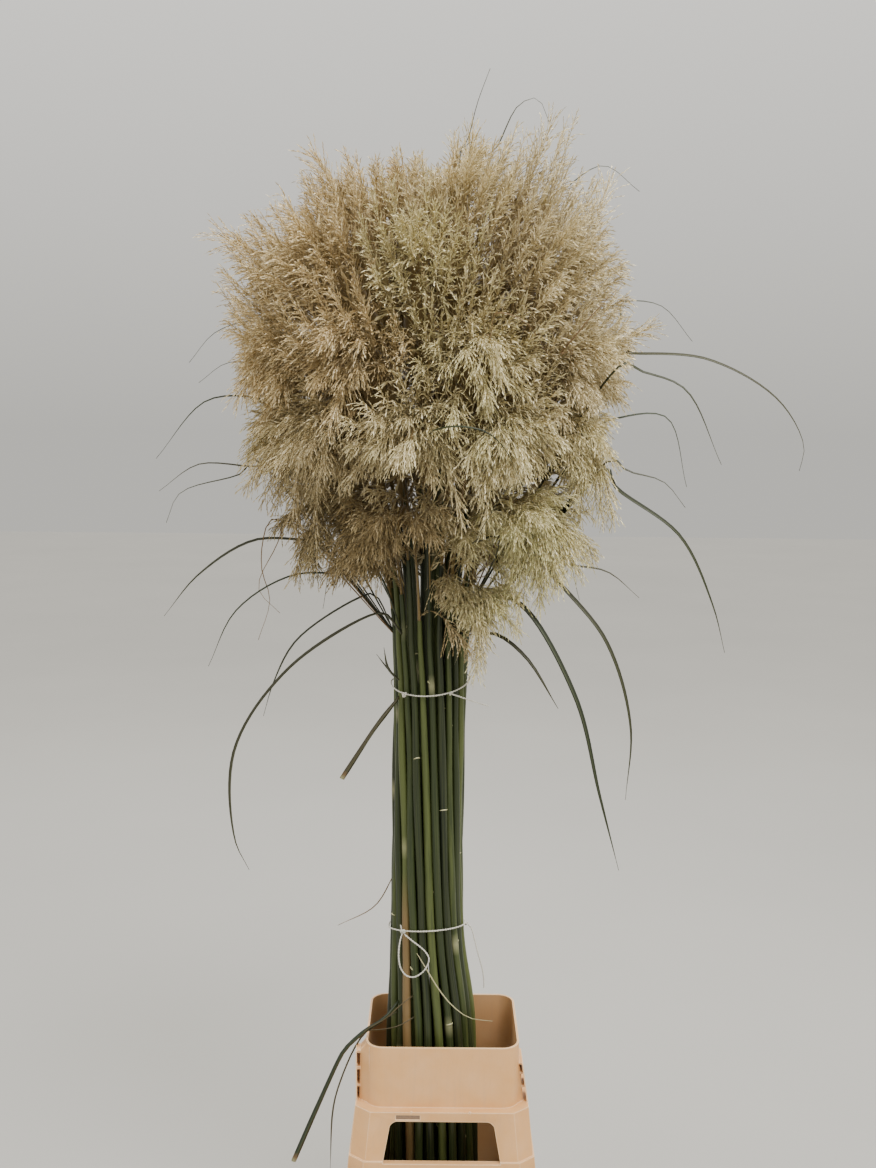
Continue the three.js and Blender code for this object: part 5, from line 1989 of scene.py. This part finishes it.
class PAMPAS_OT_camera(bpy.types.Operator):
    """Places the camera in front of the bunch, at eye height"""

    bl_idname = "pampas.camera"
    bl_label = "Camera"

    def execute(self, context):
        look = settings().stage
        data = bpy.data.cameras.new("eye")
        data.lens = LENS
        data.sensor_width = SENSOR
        data.clip_end = FAR_CLIP
        camera = bpy.data.objects.new("eye", data)
        context.scene.collection.objects.link(camera)
        down = CAMERA_TILT
        forward = Vector((0, math.cos(down), -math.sin(down)))
        right = Vector((1, 0, 0))
        up = right.cross(forward)
        turn = Matrix.Rotation(CAMERA_ROLL, 3, forward)
        right = turn @ right
        up = turn @ up
        rotation = Matrix((right, up, -forward)).transposed()
        place = Vector((CAMERA_X, -look.camera_distance, look.camera_height))
        camera.matrix_world = Matrix.Translation(place) @ rotation.to_4x4()
        context.scene.camera = camera
        return {"FINISHED"}


class PAMPAS_OT_twine_ends(bpy.types.Operator):
    """Makes the free ends and the hanging loop of the twine"""

    bl_idname = "pampas.twine_ends"
    bl_label = "Twine Ends"

    def execute(self, context):
        look = settings().twine
        for name, route in TWINE_ROUTES.items():
            path = smooth(route, 8)
            piece = twine_piece(f"{name}_cord", [(path, False)], look, tubes(), twine_finish())
            finish_piece(piece, "twine", name)
        return {"FINISHED"}


class PAMPAS_OT_ties(bpy.types.Operator):
    """Makes the two turns of twine round the bunch, with their knots"""

    bl_idname = "pampas.ties"
    bl_label = "Ties"

    def execute(self, context):
        look = settings().twine
        for level, height in TIES.items():
            name = f"tie_{level}"
            paths = [(tie_path(height, MIDDLE[level], *TIE_RISE[level]), True)]
            paths += [(knot_path(*knot), True) for knot in KNOTS[level]]
            if level == "lower":
                paths.append((smooth(KNOT_END, 6), False))
            piece = twine_piece(f"{name}_twine", paths, look, tubes(), twine_finish())
            finish_piece(piece, "twine", name)
        return {"FINISHED"}


class PAMPAS_OT_tub(bpy.types.Operator):
    """Makes the bucket and its stacking collar"""

    bl_idname = "pampas.tub"
    bl_label = "Bucket and Collar"

    def execute(self, context):
        look = settings().tub
        wear_and_light = wear_and_light_group()
        makers = (("collar", "stacking_collar", make_collar), ("bucket", "flower_bucket", make_bucket))
        for node, name, maker in makers:
            piece = maker(look.edge_round)
            piece.name = name
            finish = plastic_material(f"{node.title()} Plastic", look, wear_and_light, WORN_AND_LIT_EDGE)
            piece.data.materials.clear()
            piece.data.materials.append(finish)
            finish_piece(piece, f"{node}_plastic", node)
        return {"FINISHED"}


class PAMPAS_OT_water(bpy.types.Operator):
    """Gives the water in the bucket's foot its finish"""

    bl_idname = "pampas.water"
    bl_label = "Water"

    def execute(self, context):
        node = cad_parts["water"]
        for part in node.material_slots:
            part.material = made_once("water", water_material)
        return {"FINISHED"}


class PAMPAS_OT_culms(bpy.types.Operator):
    """Makes the culms, in the bodies that the frame has"""

    bl_idname = "pampas.culms"
    bl_label = "Culms"

    def execute(self, context):
        look = settings().culms
        finish = made_once("culm", culm_material, look, fibres())
        for first in range(0, len(CULMS), BODY_SIZE):
            made = [part for culm in CULMS[first : first + BODY_SIZE] for part in culm_parts(culm, look)]
            lines = [(part["line"], False) for part in made]
            keys = ("girth", "along", "tone", "dry", "scar")
            values = {key: [part[key] for part in made] for key in keys}
            number = first // BODY_SIZE + 1
            name = f"culms_{number:02d}"
            guide = guide_mesh(name, lines, **values)
            piece = grow(name, guide, tubes(), Sides=look.sides, Finish=finish)
            finish_piece(piece, "stems", f"stems_{number:02d}")
        return {"FINISHED"}


class PAMPAS_OT_leaves(bpy.types.Operator):
    """Makes the long arching leaves, the low leaves and the stub of a cut one"""

    bl_idname = "pampas.leaves"
    bl_label = "Leaves"

    def execute(self, context):
        look = settings().culms
        finish = made_once("leaf", leaf_material, look, fibres())
        owned = {}

        def give(host, blade):
            owned.setdefault(host.index // BODY_SIZE + 1, []).append(blade)

        for number, (width, route) in enumerate(LEAVES + DRY_LEAVES):
            host, points = leaf_points(route)
            dry = 0.15 * spread(number, 13) if number < len(LEAVES) else 1.0
            give(host, leaf_blade(points, width, LEAF_TURNS["whole"], dry))
        for width, cut, dry, route in LOW_LEAVES:
            host, root = tied_host_of(route[0])
            turns = LEAF_TURNS["cut" if cut else "whole"]
            give(host, leaf_blade([root, *route[1:]], width, turns, dry, cut))
        for number, blades in sorted(owned.items()):
            name = f"leaves_{number:02d}"
            piece = link(name, blades_mesh(name, blades))
            piece.data.materials.append(finish)
            finish_piece(piece, "stems", f"stems_{number:02d}")
        return {"FINISHED"}


class PAMPAS_OT_plumes(bpy.types.Operator):
    """Makes the forty plumes"""

    bl_idname = "pampas.plumes"
    bl_label = "Plumes"

    def execute(self, context):
        look = settings().plumes
        tree = strand_tree()
        finish = made_once("plume", plume_material, look)
        random = np.random.default_rng(look.seed)
        outside = layer_targets(look.tufts, *OUTER_LAYER["span"], random, OUTER_LAYER["lowest"])
        low = np.repeat(np.array(LOW_TUFTS, float), LOW_SHARE, axis=0)
        low += random.uniform(-LOW_STRAY, LOW_STRAY, low.shape)
        owned = share_out(np.concatenate([outside, low]), random)
        layers = [
            layer_targets(look.inner_tufts // layer["fewer"], *layer["span"], random)
            for layer in INNER_LAYERS
        ]
        inside = share_out(np.concatenate(layers), random)
        branches = [plume_lines(*each, look, random) for each in zip(CULMS, owned, inside)]
        total = sum(
            long_of(part["line"]) / part["sparse"] for lines in branches for part in lines if part["lush"] > 0
        )
        for culm, lines in zip(CULMS, branches):
            piece = plume_piece(culm, lines, total * MM / look.strands, look, tree, finish)
            finish_piece(piece, "plumes", f"plume_{culm.index + 1:02d}")
        return {"FINISHED"}


class PAMPAS_OT_stage(bpy.types.Operator):
    """Makes the pale floor and the soft studio light"""

    bl_idname = "pampas.stage"
    bl_label = "Floor and Light"

    def execute(self, context):
        look = settings().stage
        half = FLOOR_HALF
        corners = [(-half, -half, 0), (half, -half, 0), (half, half, 0), (-half, half, 0)]
        mesh = bpy.data.meshes.new("floor")
        mesh.from_pydata(corners, [], [(0, 1, 2, 3)])
        mesh.materials.append(stage_material(look))
        floor = link("floor", mesh)
        world = bpy.data.worlds.new("surround")
        world.use_nodes = True
        g = Graph(world.node_tree)
        way = g.add("ShaderNodeSeparateXYZ", {0: g.add("ShaderNodeTexCoord").outputs["Generated"]})
        rise = ramp(g, way.outputs[2], 0.0, 0.8)
        back = world.node_tree.nodes["Background"]
        g.tree.links.new(blend_colours(g, rise, rgba(look.sky), rgba(look.zenith)), back.inputs["Color"])
        context.scene.world = world
        for name, (place, aim, size, power) in LIGHTS.items():
            data = bpy.data.lights.new(name, "AREA")
            data.energy = power
            data.size = size
            lamp = bpy.data.objects.new(name, data)
            lamp.location = place
            lamp.rotation_euler = (Vector(aim) - Vector(place)).to_track_quat("-Z", "Y").to_euler()
            context.scene.collection.objects.link(lamp)
        return {"FINISHED"}


class PAMPAS_PT_panel(bpy.types.Panel):
    """Lists the pieces and their sizes and colours"""

    bl_idname = "PAMPAS_PT_panel"
    bl_label = "Pampas Grass Bunch"
    bl_space_type = "VIEW_3D"
    bl_region_type = "UI"
    bl_category = "Pampas"

    def draw(self, context):
        layout = self.layout
        for operator in OPERATORS:
            layout.operator(operator.bl_idname)
        for name in ("plumes", "culms", "tub", "twine", "stage"):
            box = layout.box()
            box.label(text=name.title())
            values = getattr(context.scene.pampas, name)
            for key in values.__annotations__:
                box.prop(values, key)


class PampasSettings(bpy.types.PropertyGroup):
    """All settings of the bunch"""

    plumes: PointerProperty(type=PampasPlumeSettings)
    culms: PointerProperty(type=PampasCulmSettings)
    tub: PointerProperty(type=PampasTubSettings)
    twine: PointerProperty(type=PampasTwineSettings)
    stage: PointerProperty(type=PampasStageSettings)


OPERATORS = (
    PAMPAS_OT_camera,
    PAMPAS_OT_twine_ends,
    PAMPAS_OT_ties,
    PAMPAS_OT_tub,
    PAMPAS_OT_water,
    PAMPAS_OT_culms,
    PAMPAS_OT_leaves,
    PAMPAS_OT_plumes,
    PAMPAS_OT_stage,
)
CLASSES = (
    PampasPlumeSettings,
    PampasCulmSettings,
    PampasTubSettings,
    PampasTwineSettings,
    PampasStageSettings,
    PampasSettings,
    *OPERATORS,
    PAMPAS_PT_panel,
)


def register():
    for item in CLASSES:
        bpy.utils.register_class(item)
    bpy.types.Scene.pampas = PointerProperty(type=PampasSettings)


def unregister():
    del bpy.types.Scene.pampas
    for item in reversed(CLASSES):
        bpy.utils.unregister_class(item)


def main():
    register()
    for operator in OPERATORS:
        category, name = operator.bl_idname.split(".")
        getattr(getattr(bpy.ops, category), name)()
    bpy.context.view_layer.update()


if __name__ == "__main__":
    main()
